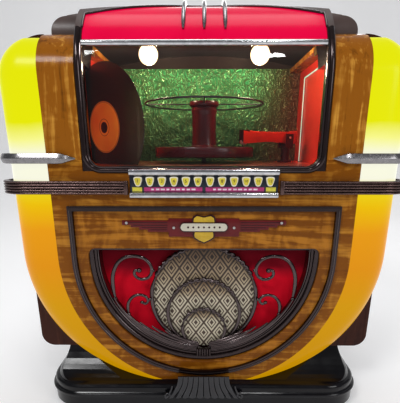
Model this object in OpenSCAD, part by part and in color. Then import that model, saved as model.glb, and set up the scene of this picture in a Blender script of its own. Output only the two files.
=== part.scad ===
// Countertop jukebox for twelve records, as an assembly of separate pieces.
// Millimetres. X runs to the right, Y to the back and Z up; the origin is on the
// surface it stands on, in the middle of the footprint.

/* [Wood front] */
// Half the width of the wooden front, and the radius of its rounded lower end
front_r = 230; // [228:1:232]
// Height of the centre that every arc of the lower front is drawn around
arc_z = 270; // [268:1:272]
// Depth of the wooden front's face, measured forward from the middle
face = 196; // [195:1:197]
// Thickness of the front board
board_t = 18; // [16:1:19]

/* [Hood and window] */
// Half the width of the window and of the hood's red panel
window_w = 168; // [166:1:169]
// Height of the window's lower edge
sill_z = 408; // [407:1:409]
// Radius that the window and the hood roll back with
roll_r = 113; // [112:1:114]
// Height at which the window starts to roll back
roll_z = 530; // [529:1:531]

/* [Cabinet] */
// Half the width of the cabinet behind the light columns
side_w = 292; // [291:1:293]
// Depth of the cabinet's back, measured from the middle
back = 212; // [210:1:213]
// Height of the cabinet's floor above the table
floor_z = 95; // [94:1:96]
// Thickness of the cabinet's boards
wall = 12; // [10:1:13]

/* [Light columns] */
// Width of a light column at its widest
column_w = 68; // [64:1:69]
// Thickness of the translucent plastic
plastic_t = 3; // [2:0.5:4]

/* [Mechanism] */
// Radius of the turntable
platter_r = 90; // [86:1:92]
// Radius of the rubber idler wheel that turns the turntable
idler_r = 15; // [14:0.5:16]
// Radius of the record on show
record_r = 100; // [92:1:100]
// How far a selector key travels
key_travel = 4; // [3:0.5:4]

/* [Hidden] */
$fn = 96;

gap = 0.4;                                // running gap between loose pieces
base_y = [-214, 220.5];                     // front and back of the plinth
baffle_y = -154;                          // front face of the dark baffle board
cheek_r = 60;                             // roll radius of the wooden cheeks
cheek_t = 8;                              // and their thickness
cheek_top = roll_z + 4 + cheek_r;         // top of the wooden cheeks
roll_y = roll_r - face;                   // centre of the window's roll
split_z = cheek_top + 1;                  // joint between the window and the lid
trim_w = 10;                              // width of the window's dark trim
mould_r = front_r - 23;                   // outer radius of the big D moulding
mould_top = arc_z + 83;                   // its top edge
open_r = 182;                             // radius of the grille opening
open_top = arc_z + 17;                    // its top edge
bay_w = 200;                              // half the width of the record compartment
bay_back = 105;                           // depth of the foil wall
deck_z = sill_z + 3;                      // top of the compartment's floor
spin_y = -36;                             // where the turntable turns
platter_z = [421, 439];                   // under and upper face of the turntable
arm_pivot = [156, -4];                    // tone arm's pivot
arm_tip = [68, -50];                      // where its needle stands
arm_z = 456;                              // height of the tone arm's lift axis
strip_z = [365, 408];                     // selector's lower and upper edge
strip_w = 110;                            // half the selector's width
key_z = 389.5;                            // centre of a key
key_pitch = 17.7;                         // distance from key to key
band_z = [370.5, 390.5];                      // ribbed band
spear_z = 422;                            // middle of the pointed bar
trim_out = 311;                           // outermost reach of band and bar
trim_corner = 44;                         // their corner radius in plan
hinge_y = 205;                            // lid hinge
hinge_z = split_z + 8;
door_w = 200;                             // half the rear door's width
door_z = [140, 540];
door_hinge = [-door_w - 7, back + 4];
domes = [[196, 88], [168, 61], [141.5, 36.5]];  // grille circles: height, radius
speaker_z = 197;                          // middle of the loudspeaker
record_at = [-168, -88, 470];             // middle of the record on show
record_turn = -40;                        // and how far it is turned

// ---- general shapes -------------------------------------------------------

// A flat shape drawn as (y, z), made solid between two places along X
module along_x(x0, x1) {
    translate([x0, 0, 0]) rotate([90, 0, 90]) linear_extrude(x1 - x0) children();
}

// A flat shape drawn as (x, z), made solid between two places along Y
module along_y(y0, y1) {
    translate([0, y1, 0]) rotate([90, 0, 0]) linear_extrude(y1 - y0) children();
}

module block(low, high) {
    translate(low) cube(high - low);
}

module both_sides() {
    children();
    mirror([1, 0, 0]) children();
}

// A skin over rings of points, closed at both ends
module skin(rings) {
    count = len(rings[0]);
    last = len(rings) - 1;
    polyhedron(
        points = [for (ring = rings) each ring],
        faces = concat(
            [[for (j = [0 : count - 1]) j]],
            [[for (j = [count - 1 : -1 : 0]) last * count + j]],
            [for (i = [0 : last - 1], j = [0 : count - 1]) each let (
                a = i * count + j,
                b = i * count + (j + 1) % count)
                [[a, a + count, b], [b, a + count, b + count]]]),
        convexity = 8);
}

// Unit vector from one flat point towards another
function heading(a, b) = (b - a) / norm(b - a);

// Rings of a round wire that follows a flat path of (x, z) points at depth y
function wire_rings(path, y, r, sides = 8) = [
    for (i = [0 : len(path) - 1])
        let (
            t = heading(path[max(i - 1, 0)], path[min(i + 1, len(path) - 1)]),
            n = [-t[1], t[0]])
            [for (k = [0 : sides - 1]) let (a = -360 * k / sides)
                [path[i][0] + r * cos(a) * n[0], y + r * sin(a), path[i][1] + r * cos(a) * n[1]]]
];

module wire(path, y, r) {
    skin(wire_rings(path, y, r));
}

// Points of a spiral arc about (cx, cz), from angle a0 to a1 while its radius changes
function spiral(cx, cz, r0, r1, a0, a1, steps) = [
    for (i = [0 : steps]) let (
        u = i / steps, a = a0 + (a1 - a0) * u, r = r0 + (r1 - r0) * u)
        [cx + r * cos(a), cz + r * sin(a)]
];

// D outline: a half disc below arc_z with a straight part above it
module d_shape(r, top, corner = 0) {
    intersection() {
        translate([0, arc_z]) circle(r);
        translate([-r - 1, arc_z - r - 1]) square([2 * r + 2, r + 1]);
    }
    translate([-r, arc_z]) square([2 * r, top - arc_z - corner]);
    if (corner > 0) {
        translate([corner - r, arc_z]) square([2 * (r - corner), top - arc_z]);
        for (s = [-1, 1]) translate([s * (r - corner), top - corner]) circle(corner);
    }
}

module d_ring(r, top, width, corner = 0, bar = 0) {
    difference() {
        d_shape(r, top, corner);
        d_shape(r - width, top - (bar > 0 ? bar : width), max(corner - width, 0));
    }
}

// ---- plinth ---------------------------------------------------------------

base_half = 273;
base_corner = 62;
base_core = [base_half - base_corner, base_corner];

// Profile of the plinth's edge as (distance from the corner's centre, height)
function plinth_profile() = concat(
    [[0, 6], [base_corner - 2, 6], [base_corner, 8], [base_corner, 27]],
    [for (a = [-90 : 30 : 90]) [base_corner + 0.5 + 3 * cos(a), 32 + 3.5 * sin(a)]],
    [[base_corner - 1, 37], [base_corner - 1, 43]],
    [for (a = [0 : 15 : 90]) [base_corner - 8 + 7 * cos(a), 43 + 7 * sin(a)]],
    [for (a = [-80 : 20 : 0]) [base_corner - 8 - 22 * (1 - pow(-a / 90, 2)) , floor_z - 40 * pow(-a / 90, 1.4)]],
    [[0, floor_z]]);

module plinth_edge(length) {
    rotate([90, 0, 90]) linear_extrude(length) polygon(plinth_profile());
}

module plinth_corner() {
    rotate_extrude(angle = 90) polygon(plinth_profile());
}

module base_plinth() {
    x = base_half - base_corner;
    y0 = base_y[0] + base_corner;
    y1 = base_y[1] - base_corner;
    color("#0b0b0d") difference() {
        plinth_body(x, y0, y1);
        along_x(-300, 300) above_apron(0);
        both_sides() along_y(-face - 0.6, baffle_y) lower_pocket();
        along_y(-face - 7.4, -face) d_shape(mould_r + 0.4, arc_z + 1);
        along_y(-face - 0.2, baffle_y) d_shape(front_r + 0.4, arc_z + 1);
        block([-190, -146, -1], [190, 176, floor_z - wall]);
    }
}

// Side view of what lies above the hollow slope of the plinth's front
module above_apron(lift) {
    polygon(concat(
        [for (t = [0 : 0.125 : 1]) [baffle_y - 53 * t, floor_z + lift - 45 * (1 - pow(1 - t, 2))]],
        [[-240, floor_z + lift - 45], [-240, 500], [baffle_y, 500]]));
}

// Front view of the recess in the plinth that takes the foot of a lit column
module lower_pocket() {
    polygon(concat([[0, arc_z]],
        [for (a = [0 : 4 : 76]) (front_r + 2 * gap + taper(a)) * [cos(a), -sin(a)] + [0, arc_z]]));
}

module plinth_body(x, y0, y1) {
    union() {
        translate([x, y1, 0]) plinth_corner();
        translate([-x, y1, 0]) rotate(90) plinth_corner();
        translate([-x, y0, 0]) rotate(180) plinth_corner();
        translate([x, y0, 0]) rotate(270) plinth_corner();
        translate([-x, y1, 0]) plinth_edge(2 * x);
        translate([x, y0, 0]) rotate(180) plinth_edge(2 * x);
        translate([x, y1, 0]) rotate(270) plinth_edge(y1 - y0);
        translate([-x, y0, 0]) rotate(90) plinth_edge(y1 - y0);
        block([-x, y0, 6], [x, y1, floor_z]);
    }
}

module feet() {
    color("#151515")
        for (x = [-215, 215], y = [-150, 160])
            translate([x, y, 0]) cylinder(r1 = 16, r2 = 18, h = 6);
}

// ---- cabinet --------------------------------------------------------------

shoulder = [front_r, 530];
shoulder_r = side_w - front_r;
foot_r = 22;

// Outline of the cabinet seen from the front, right half from the middle
module cabinet_outline(inset = 0) {
    w = side_w - inset;
    z0 = floor_z + inset;
    r = foot_r - inset / 2;
    translate([shoulder[0], shoulder[1]]) circle(shoulder_r - inset);
    translate([-shoulder[0], shoulder[1]]) circle(shoulder_r - inset);
    translate([-w, z0 + r]) square([2 * w, shoulder[1] - z0 - r]);
    translate([r - w, z0]) square([2 * (w - r), shoulder[1] - z0]);
    for (s = [-1, 1]) translate([s * (w - r), z0 + r]) circle(r);
    translate([-shoulder[0], shoulder[1]]) square([2 * shoulder[0], shoulder_r - inset]);
}

module side_shape() {
    difference() {
        cabinet_outline();
        cabinet_outline(wall);
        translate([-side_w, 0]) square([side_w + front_r, 700]);
    }
}

module right_side() {
    color("#34150f") along_y(baffle_y + wall, back - wall) side_shape();
}

module left_side() {
    mirror([1, 0, 0]) right_side();
}

module cabinet_floor() {
    color("#34150f")
        block([-front_r, baffle_y + wall, floor_z], [front_r, back - wall, floor_z + wall]);
}

module baffle_board() {
    color("#2b110d") along_y(baffle_y, baffle_y + wall) difference() {
        cabinet_outline();
        translate([-bay_w - 4, sill_z - 4]) square([2 * bay_w + 8, 300]);
        translate([-front_r - 0.4, 577]) square([2 * front_r + 0.8, 100]);
        translate([0, speaker_z]) circle(74);
    }
}

module rear_frame() {
    color("#2b110d") difference() {
        along_y(back - wall, back) cabinet_outline();
        along_y(back - wall - 1, back + 1)
            translate([-door_w - 1, door_z[0] - 1])
                square([2 * door_w + 2, door_z[1] - door_z[0] + 2]);
        translate([120, back - wall - 1, 119]) rotate([-90, 0, 0]) cylinder(r = 4, h = wall + 2);
        translate([-150, back - wall - 1, 119]) rotate([-90, 0, 0]) cylinder(r = 6, h = wall + 2);
    }
    color("#151515") translate([-150, back - 2, 119]) rotate([-90, 0, 0]) difference() {
        cylinder(r = 11, h = 8);
        translate([0, 0, -1]) cylinder(r = 4, h = 10);
    }
}

// ---- wooden front ---------------------------------------------------------

module front_panel() {
    color("#a86f2c") along_y(-face, board_t - face) difference() {
        union() {
            d_shape(front_r, sill_z - 4);
            for (s = [-1, 1]) translate([s > 0 ? window_w + trim_w + 1 : -front_r, sill_z - 5])
                square([front_r - window_w - trim_w - 1, 425 - sill_z]);
        }
        d_shape(mould_r + 0.3, mould_top + 0.3);
        translate([-strip_w - 0.5, strip_z[0] - 0.5]) square([2 * strip_w + 1, 60]);
    }
}

// Side view of a cheek: upright, rolled over and run back along the top
module cheek_profile() {
    centre = [cheek_r - face, roll_z + 4];
    difference() {
        union() {
            translate(centre) circle(cheek_r);
            translate([-face, 420.2]) square([2 * cheek_r, centre[1] - 420.2]);
            translate(centre) square([back - wall - centre[0], cheek_r]);
        }
        translate(centre) circle(cheek_r - cheek_t);
        translate([cheek_t - face, 400]) square([600, centre[1] - 400]);
        translate([centre[0], 400]) square([600, centre[1] + cheek_r - cheek_t - 400]);
    }
}

module cheeks() {
    color("#9a6122") both_sides()
        along_x(window_w + trim_w + 1, front_r) cheek_profile();
}

module d_moulding() {
    color("#3a2a2c") along_y(-face - 5, 6 - face) d_ring(mould_r, mould_top, 7.5);
    color("#3a2a2c") along_y(-face - 7, -face - 5) translate([-mould_r + 2, mould_top - 5.5])
        square([2 * mould_r - 4, 3.5]);
}

module grille_panel() {
    color("#b5793a") along_y(-face, board_t - face) difference() {
        d_shape(mould_r - 8, mould_top - 8);
        d_shape(open_r, open_top, 12);
    }
}

module opening_trim() {
    color("#3b2c2e") {
        along_y(-face + 4, 20 - face) d_ring(open_r - 0.3, open_top - 0.3, 6, 12, 1.5);
        along_y(-face + 9, 26 - face) d_ring(open_r - 6.3, open_top - 1.8, 5, 8, 1.5);
        along_y(-face + 13, 30 - face) d_ring(open_r - 11.3, open_top - 3.3, 3, 5, 1.5);
    }
}

module grille_backing() {
    color("#a80d20") along_y(32 - face, 36 - face) difference() {
        d_shape(open_r + 6, open_top + 6);
        translate([0, speaker_z]) circle(60);
    }
}

module dome_ring(i) {
    y = 24 - face - 4 * i;
    translate([0, y, domes[i][0]]) rotate([90, 0, 0])
        rotate_extrude() translate([domes[i][1] - 0.2, 0]) circle(r = 2.8, $fn = 16);
}

// Three stepped discs of woven cloth in rings, each tangent to the next at the foot
module grille_cloth() {
    color("#b9a888") for (i = [0 : 2]) {
        front = 27 - face - 4 * i;
        along_y(front, front + 3.6) intersection() {
            translate([0, domes[i][0]]) circle(domes[i][1] - 2.9);
            below(open_top - 5);
        }
    }
    color("#6f666a") intersection() {
        dome_ring(0);
        block([-100, -190, 100], [100, -150, open_top - 5]);
    }
    color("#6f666a") for (i = [1 : 2]) dome_ring(i);
}

// ---- scrollwork -----------------------------------------------------------

casting_y = 17 - face;
scroll_r = 2.6;

function big_scroll() = concat(
    [[-145.5, 196], [-147.5, 210]],
    spiral(-116, 228, 32, 33, 165, 60, 9),
    spiral(-102.5, 249, 10, 13, 50, -150, 12),
    spiral(-107.5, 247, 8, 3, -170, -360, 6));

function small_scroll() = concat(
    [[-126, 170], [-127.5, 180]],
    spiral(-111.5, 188, 16, 15, 172, 35, 8),
    spiral(-101.5, 193, 6.5, 3.5, 20, -160, 5));

// A strip of the leaf fan, on an arc that runs from the side down to the middle
module fan_strip(i) {
    r = 165.2 - 4.4 * i;
    path = spiral(0, arc_z, r, r, -156 + 11 * i, [-93, -93, -98][i], 12);
    wire(path, casting_y - 7.5, 2.1);
}

module scroll_casting() {
    color("#6f666a") {
        both_sides() {
            wire(big_scroll(), casting_y, scroll_r);
            wire(small_scroll(), casting_y, scroll_r - 0.4);
            for (i = [0 : 2]) fan_strip(i);
        }
        block([-10.5, 5.5 - face, 100.2], [10.5, 11.5 - face, 109]);
        for (x = [-8.4 : 4.2 : 8.5]) translate([x, 5.2 - face, 100.2]) cylinder(r = 2, h = 9.8, $fn = 24);
    }
}

// Outline of the fluted fan at the foot of the front
module ornament_outline() {
    polygon(concat(
        [for (u = [0 : 0.1 : 1]) [43 + 21 * pow(u, 2.2), 68 - 36 * u]],
        [[60, 29], [-60, 29]],
        [for (u = [1 : -0.1 : 0]) [-43 - 21 * pow(u, 2.2), 68 - 36 * u]]));
}

module base_ornament() {
    color("#2c2c30") {
        along_y(-222, -217.7) ornament_outline();
        for (s = [-1, 1]) translate([s * 60, -217.7, 34.5]) rotate([90, 0, 0])
            cylinder(r = 5.5, h = 6.3);
        for (i = [-4 : 4]) translate([i * 10, -222, 30]) cylinder(r = 2, h = 37, $fn = 24);
    }
}

// ---- badge ----------------------------------------------------------------

module wing_outline() {
    half = [[54, 334.5], [54, 331.5], [125, 331.5], [125, 324.5], [112, 324.5], [112, 321],
        [99, 321], [99, 317.5], [86, 317.5], [86, 314], [54, 314], [54, 306.5]];
    last = len(half) - 1;
    polygon(concat(half, [for (i = [last : -1 : 0]) [-half[i][0], half[i][1]]]));
}

module badge_plate() {
    color("#6b1420") along_y(-face - 3.5, -face) wing_outline();
}

module badge_shield() {
    color("#d8b32a") along_y(-face - 6.5, -face - 3.5) translate([0, 6.5]) polygon([
        [-16, 332], [-9, 335], [0, 332.5], [9, 335], [16, 332], [18, 324], [15, 312],
        [17, 299], [9, 293], [0, 289], [-9, 293], [-17, 299], [-15, 312], [-18, 324]]);
    color("#e6e3d6") along_y(-face - 9, -face - 6.5) {
        for (s = [-1, 1]) translate([s * 29.5, 322]) circle(7.5);
        translate([-29.5, 314.5]) square([59, 15]);
    }
}

// ---- window and hood ------------------------------------------------------

// Side view of the window and hood: upright, then rolled back to flat
module hood_profile(inset = 0, low = sill_z) {
    r = roll_r - inset;
    translate([roll_y, roll_z]) circle(r);
    translate([inset - face, low]) square([r, roll_z - low]);
    translate([roll_y, low]) square([back - 16 - inset - roll_y, roll_z + r - low]);
}

module below(z) {
    translate([-400, -100]) square([800, z + 100]);
}

module above(z) {
    translate([-400, z]) square([800, 400]);
}

// Side view of a curved sheet whose face lies inset from the hood's face
module sheet_profile(inset, t) {
    difference() {
        hood_profile(inset, sill_z + 1);
        hood_profile(inset + t, sill_z - 5);
    }
}

module window_glass() {
    color("#cfe0dc", 0.35) along_x(-window_w - 4, window_w + 4) intersection() {
        sheet_profile(5, 3);
        below(572);
        translate([-400, 0]) square([roll_y + 400, 700]);
    }
}

// Dark trim: two curved side pieces and the sill between them
module window_trim() {
    color("#3c2d2e") {
        both_sides() along_x(window_w, window_w + trim_w) difference() {
            intersection() {
                hood_profile(0, sill_z - 4);
                below(split_z);
                translate([-400, 0]) square([400 - 128, 700]);
            }
            translate([14 - face, 0]) square([300, 547]);
            translate([roll_y, roll_z]) circle(roll_r - 46);
            intersection() {
                sheet_profile(4.6, 3.8);
                below(573);
            }
        }
        block([-window_w, -face, sill_z - 4], [-strip_w - 1, 14 - face, sill_z + 0.5]);
        block([strip_w + 1, -face, sill_z - 4], [window_w, 14 - face, sill_z + 0.5]);
    }
}

lid_w = 223;
crown_r = 965;
panel_crown_r = 590;

// The lid seen from the front: crowned top with rounded shoulders
module lid_outline(inset = 0) {
    intersection() {
        translate([0, roll_z + roll_r - crown_r]) circle(r = crown_r - inset, $fn = 240);
        union() {
            translate([inset - lid_w, split_z]) square([2 * (lid_w - inset), 4]);
            for (s = [-1, 1]) translate([s * (lid_w - 22), split_z + 4]) circle(22 - inset);
            translate([22 - lid_w, split_z]) square([2 * (lid_w - 22), 80]);
        }
        above(split_z);
    }
}

// The red panel's outline seen from the front
module panel_outline(inset = 0) {
    intersection() {
        translate([0, roll_z + roll_r - 2 - panel_crown_r])
            circle(r = panel_crown_r - inset, $fn = 240);
        translate([inset - window_w + 0.2, 577 + inset])
            square([2 * (window_w - 0.2 - inset), 80]);
    }
}

// Side view of the lid's ends, which stand further back, on top of the cheeks
module lid_end_profile(inset) {
    translate([-98, split_z]) circle(43 - inset);
    translate([-98, split_z - 50]) square([400, 200]);
}

module lid_shell(inset) {
    intersection() {
        along_y(-face - 5, back - 16 - inset) lid_outline(inset);
        along_x(-lid_w - 5, lid_w + 5) hood_profile(inset, split_z - 20);
        union() {
            along_x(inset - window_w - trim_w - 0.4, window_w + trim_w + 0.4 - inset)
                translate([-300, 500]) square([600, 300]);
            along_x(-lid_w - 5, lid_w + 5) lid_end_profile(inset);
        }
    }
}

module lid_frame() {
    color("#4a3530") difference() {
        lid_shell(0);
        translate([0, 0, -0.01]) lid_shell(8);
        along_y(-face - 10, roll_y) panel_outline(0);
        block([-window_w, -face - 5, 560], [window_w, -150, 580]);
    }
    color("#8d8580") for (x = [-146, 85]) difference() {
        union() {
            block([x, back - 16.5, hinge_z - 3], [x + 62.5, hinge_y, hinge_z + 3]);
            translate([x, hinge_y, hinge_z]) rotate([0, 90, 0]) cylinder(r = 5, h = 62.5);
        }
        translate([x - 1, hinge_y, hinge_z]) rotate([0, 90, 0]) cylinder(r = 2.56, h = 65);
    }
}

module lid_plastic() {
    color("#d4063c", 0.9) intersection() {
        along_y(-face - 5, roll_y) panel_outline(0.4);
        along_x(-window_w - 5, window_w + 5) difference() {
            hood_profile(1.2, 560);
            hood_profile(5.2, 550);
        }
    }
}

fin_x = [-29, 0, 29];

module fin_profile() {
    intersection() {
        difference() {
            translate([roll_y + 3, roll_z + 1]) circle(roll_r + 7);
            hood_profile(-0.2);
        }
        above(592);
        translate([-300, 0]) square([300 - 40, 700]);
    }
}

module lid_chrome() {
    color("#d9d9dc") {
        for (x = fin_x) along_x(x - 3, x + 3) fin_profile();
        translate([0.6 - window_w, 8.5 - face, 573]) rotate([0, 90, 0])
            cylinder(r = 4, h = 2 * window_w - 1.2);
    }
}

// ---- selector -------------------------------------------------------------

// Outline of a key: a round-shouldered shield, narrower at the foot
module key_outline(inset = 0) {
    e = inset;
    polygon([[e - 5.2, 6.5 - e], [5.2 - e, 6.5 - e], [6.3 - e, 5.4 - e], [6 - e, 1],
        [3.4 - e, e - 6.5], [e - 3.4, e - 6.5], [e - 6, 1], [e - 6.3, 5.4 - e]]);
}

function key_x(i) = (i - 6.5) * key_pitch;

module selector_housing() {
    y = -face;
    color("#c9c6c4") {
        block([-strip_w, y - 7, 397], [strip_w, y + 12, strip_z[1]]);
        block([-strip_w, y - 7, strip_z[0]], [strip_w, y + 12, 371]);
    }
    color("#10141f") along_y(y - 2, y + 2) difference() {
        translate([-strip_w, 371]) square([2 * strip_w, 26]);
        for (i = [1 : 12]) translate([key_x(i), key_z]) key_outline(-0.4);
    }
}

module key(i) {
    color("#efe07a") {
        along_y(-face - 7, -face + 6) translate([key_x(i), key_z]) key_outline();
        translate([key_x(i), -face + 6, key_z]) rotate([-90, 0, 0])
            cylinder(r = 2.5, h = 22, $fn = 24);
    }
}

// ---- wrap-round metal trim ------------------------------------------------

// Plan of a strip that runs along the front and round the corner, t thick
module wrap_plan(x0, out, t, tail) {
    r = trim_corner;
    cx = out - r;
    cy = -face - 2 - t + r;
    difference() {
        union() {
            translate([x0, -face - 2 - t]) square([cx - x0, r]);
            translate([cx, cy]) circle(r);
            translate([cx, cy]) square([r, tail]);
        }
        translate([x0 - 1, -face - 2]) square([cx - x0 + 1, 200]);
        translate([cx, cy]) circle(r - t);
        translate([cx - 60, cy]) square([60 + r - t, tail + 60]);
    }
}

module right_band() {
    color("#5b463f") {
        translate([0, 0, band_z[0]]) linear_extrude(band_z[1] - band_z[0])
            wrap_plan(115, trim_out - 2, 5, 70);
        for (i = [0 : 4]) translate([0, 0, band_z[0] + 0.5 + 4.25 * i]) linear_extrude(2)
            wrap_plan(115, trim_out, 7, 70);
        block([side_w + 0.1, -104, band_z[0] + 3], [trim_out - 6.5, -92, band_z[1] - 3]);
    }
}

module left_band() {
    mirror([1, 0, 0]) right_band();
}

module right_spear() {
    color("#d9d9dc") {
        for (i = [0 : 4]) translate([0, 0, spear_z - 7 + 1.5 * i]) linear_extrude(14 - 3 * i)
            wrap_plan(206, trim_out - 4 + i, 5 + i, 24);
        skin([
            [for (p = [[-9, 7], [-2, 7], [-2, -7], [-9, -7], [-11, 0]])
                [206, p[0] - face, spear_z + p[1]]],
            [for (p = [[-9, 6], [-2, 6], [-2, -6], [-9, -6], [-10, 0]])
                [200, p[0] - face, spear_z + p[1]]],
            [for (p = [[-3, 0.5], [-1, 0.5], [-1, -0.5], [-3, -0.5], [-3.5, 0]])
                [184, p[0] - face, spear_z + p[1]]]]);
        translate([trim_out - 6.5, -face + 70, spear_z]) sphere(r = 6.5, $fn = 48);
        translate([side_w + 0.1, -face + 70, spear_z]) rotate([0, 90, 0]) cylinder(r = 3.5, h = 10);
    }
}

module left_spear() {
    mirror([1, 0, 0]) right_spear();
}

// ---- light columns --------------------------------------------------------

column_arc = 7;                           // segments round a column's corner

// Half section of a column as (out, depth): w wide, from the wood round to the baffle
function column_curve(w, d, t) = let (
    r = min(w, d), n = column_arc)
    concat(
        [[0, -d + t]],
        [for (k = [0 : n]) let (a = 90 * k / n)
            [w - r + (r - t) * sin(a), -(d - t) * cos(a)]]);

// Closed section: outer curve there, inner curve back
function column_section(w, d) = let (
    t = min(plastic_t, 0.4 * min(w, d)),
    inner = column_curve(w, d, t))
    concat(column_curve(w, d, 0), [for (k = [len(inner) - 1 : -1 : 0]) inner[k]]);

function upright_ring(z, w, d) =
    [for (p = column_section(w, d)) [front_r + gap + p[0], baffle_y - gap + p[1], z]];

// Rising part: straight, then rolled over with the cabinet's shoulder
function upper_rings() = concat(
    [for (z = [377, 450, 515]) upright_ring(z, column_w, 41)],
    [for (e = [6 : 8 : 62]) upright_ring(
        shoulder[1] + shoulder_r * sin(e), column_w * cos(e) * (1 - 0.1 * pow(e / 90, 3)),
        min(41, cheek_r * cos(e) - 18.5))]);

// Width of the column along the lower arc, a degrees below the arc's centre
function taper(a) = column_w * (1 - pow(a / 82, 1.6));

function lower_rings() = concat(
    [for (z = [376, 320, 280]) upright_ring(z, column_w, 41)],
    [for (a = [2 : 6 : 74]) let (w = taper(a), r0 = front_r + gap)
        [for (p = column_section(w, 41))
            [(r0 + p[0]) * cos(a), baffle_y - gap + p[1], arc_z - (r0 + p[0]) * sin(a)]]]);

module right_plastic_upper() {
    color("#e9ea08") skin([for (i = [len(upper_rings()) - 1 : -1 : 0]) upper_rings()[i]]);
}

module left_plastic_upper() {
    mirror([1, 0, 0]) right_plastic_upper();
}

module right_plastic_lower() {
    color("#e79211") skin(lower_rings());
}

module left_plastic_lower() {
    mirror([1, 0, 0]) right_plastic_lower();
}

// ---- inside ---------------------------------------------------------------

module interior_liner() {
    color("#b3231e") {
        difference() {
            union() {
                both_sides() along_x(bay_w, bay_w + 3) {
                    translate([baffle_y, deck_z - 3]) square([30, 150]);
                    translate([cheek_r - face, deck_z - 3])
                        square([bay_back + 4 - cheek_r + face, cheek_top - cheek_t - deck_z + 3]);
                }
                block([-bay_w - 3, 21 - face, deck_z - 3], [bay_w + 3, bay_back + 4, deck_z]);
            }
            translate([0, spin_y, deck_z - 4]) cylinder(r = 5, h = 6);
            translate([0, spin_y + platter_r + idler_r + 0.3, deck_z - 4]) cylinder(r = 5, h = 6);
            translate(record_at) rotate([0, 0, record_turn]) translate([-record_r, -5, -140])
                cube([2 * record_r, 10, 240]);
        }
    }
}

module foil_wall() {
    color("#1f7a3c") {
        block([0.3 - bay_w, bay_back, deck_z], [bay_w - 0.3, bay_back + 3, cheek_top - cheek_t]);
        block([-window_w - trim_w, bay_back, 500], [window_w + trim_w, bay_back + 3, cheek_top]);
    }
}

// A lamp bulb hanging from its socket
module bulb(x, y, z) {
    translate([x, y, z]) sphere(r = 15, $fn = 48);
    translate([x, y, z]) cylinder(r = 8, h = 23);
}

module tube_lamp() {
    translate([front_r + 30, baffle_y - 15, 290]) cylinder(r = 6, h = 225);
    translate([front_r + 30, baffle_y - 15, 282]) cylinder(r = 8, h = 8);
}

module lamps() {
    color("#fff6df") {
        bulb(-88, -100, 577);
        bulb(88, -100, 577);
        both_sides() tube_lamp();
    }
    color("#6b4a38") {
        block([-178, -106, 600], [178, -94, 604]);
        both_sides() block([174, -106, 575], [178.8, -94, 604]);
    }
}

module speaker() {
    color("#2a2a2a") translate([0, baffle_y + wall, speaker_z]) rotate([-90, 0, 0]) {
        difference() {
            cylinder(r1 = 86, r2 = 46, h = 52);
            translate([0, 0, -3]) cylinder(r1 = 82, r2 = 26, h = 50);
        }
        translate([0, 0, 50]) cylinder(r = 42, h = 34);
        translate([0, 0, 30]) cylinder(r = 14, h = 22);
    }
}

module amplifier() {
    z = floor_z + wall;
    color("#8b8d8f") difference() {
        block([-170, 40, z], [60, 170, z + 50]);
        block([-168, 42, z - 1], [58, 168, z + 48]);
    }
    color("#d9d9dc") for (i = [0 : 4]) translate([-145 + 34 * i, 140, z + 50]) {
        cylinder(r = 11, h = 44);
        translate([0, 0, 44]) sphere(r = 11, $fn = 48);
    }
    color("#202020") block([-40, 55, z + 50], [40, 110, z + 118]);
}

coin = [10, 455];                         // where the coin plate sits: y, z

module coin_mechanism() {
    x = side_w + 0.2;
    color("#c9c6c4") difference() {
        block([x, coin[0] - 24, coin[1] - 45], [x + 4, coin[0] + 24, coin[1] + 45]);
        for (k = [-1, 0, 1])
            block([x - 1, coin[0] + 13 * k - 1.2, coin[1] + 6], [x + 5, coin[0] + 13 * k + 1.2, coin[1] + 32]);
    }
    color("#8b8d8f") difference() {
        block([212, coin[0] - 20, 180], [279.5, coin[0] + 20, 400]);
        block([214, coin[0] - 18, 170], [277.5, coin[0] + 18, 410]);
    }
    color("#8b8d8f") difference() {
        block([206, coin[0] - 60, floor_z + wall], [262, coin[0] + 60, 175]);
        block([208, coin[0] - 58, floor_z + wall + 2], [260, coin[0] + 58, 180]);
    }
}

module motor() {
    y = spin_y + platter_r + idler_r + 0.3;
    color("#3a3a3d") {
        translate([0, y, 338]) cylinder(r = 34, h = 62);
        translate([0, y, 400]) cylinder(r = 2.45, h = 26.5);
        for (s = [-1, 1]) translate([s * 24, y, 400]) cylinder(r = 4, h = deck_z - 3 - 400);
    }
    color("#8b8d8f") {
        difference() {
            translate([0, spin_y, 350]) cylinder(r = 9, h = deck_z - 3 - 350);
            translate([0, spin_y, 384]) cylinder(r = 4.05, h = 30);
        }
        block([-14, spin_y + 8, 350], [14, y - 32, 358]);
    }
}

module idler_wheel() {
    y = spin_y + platter_r + idler_r + 0.3;
    color("#1b1b1b") translate([0, y, 423]) difference() {
        cylinder(r = idler_r, h = 12);
        translate([0, 0, -1]) cylinder(r = 2.5, h = 5.5);
    }
}

module turntable() {
    color("#4a0d16") translate([0, spin_y, 0]) {
        translate([0, 0, platter_z[0]]) cylinder(r = platter_r, h = platter_z[1] - platter_z[0]);
        translate([0, 0, 386]) cylinder(r = 4, h = 36);
        translate([0, 0, platter_z[1]]) cylinder(r = 21.5, h = 69);
        translate([0, 0, platter_z[1] + 69]) cylinder(r = 26, h = 8);
        for (a = [0, 90, 180, 270]) rotate(a)
            translate([20, -1.5, platter_z[1] + 71]) cube([85, 3, 3]);
        translate([0, 0, platter_z[1] + 72.5]) rotate_extrude() translate([104, 0]) circle(r = 2, $fn = 24);
    }
}

module at_arm(z) {
    turn = atan2(arm_tip[1] - arm_pivot[1], arm_tip[0] - arm_pivot[0]);
    translate([arm_pivot[0], arm_pivot[1], z]) rotate(turn) children();
}

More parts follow.
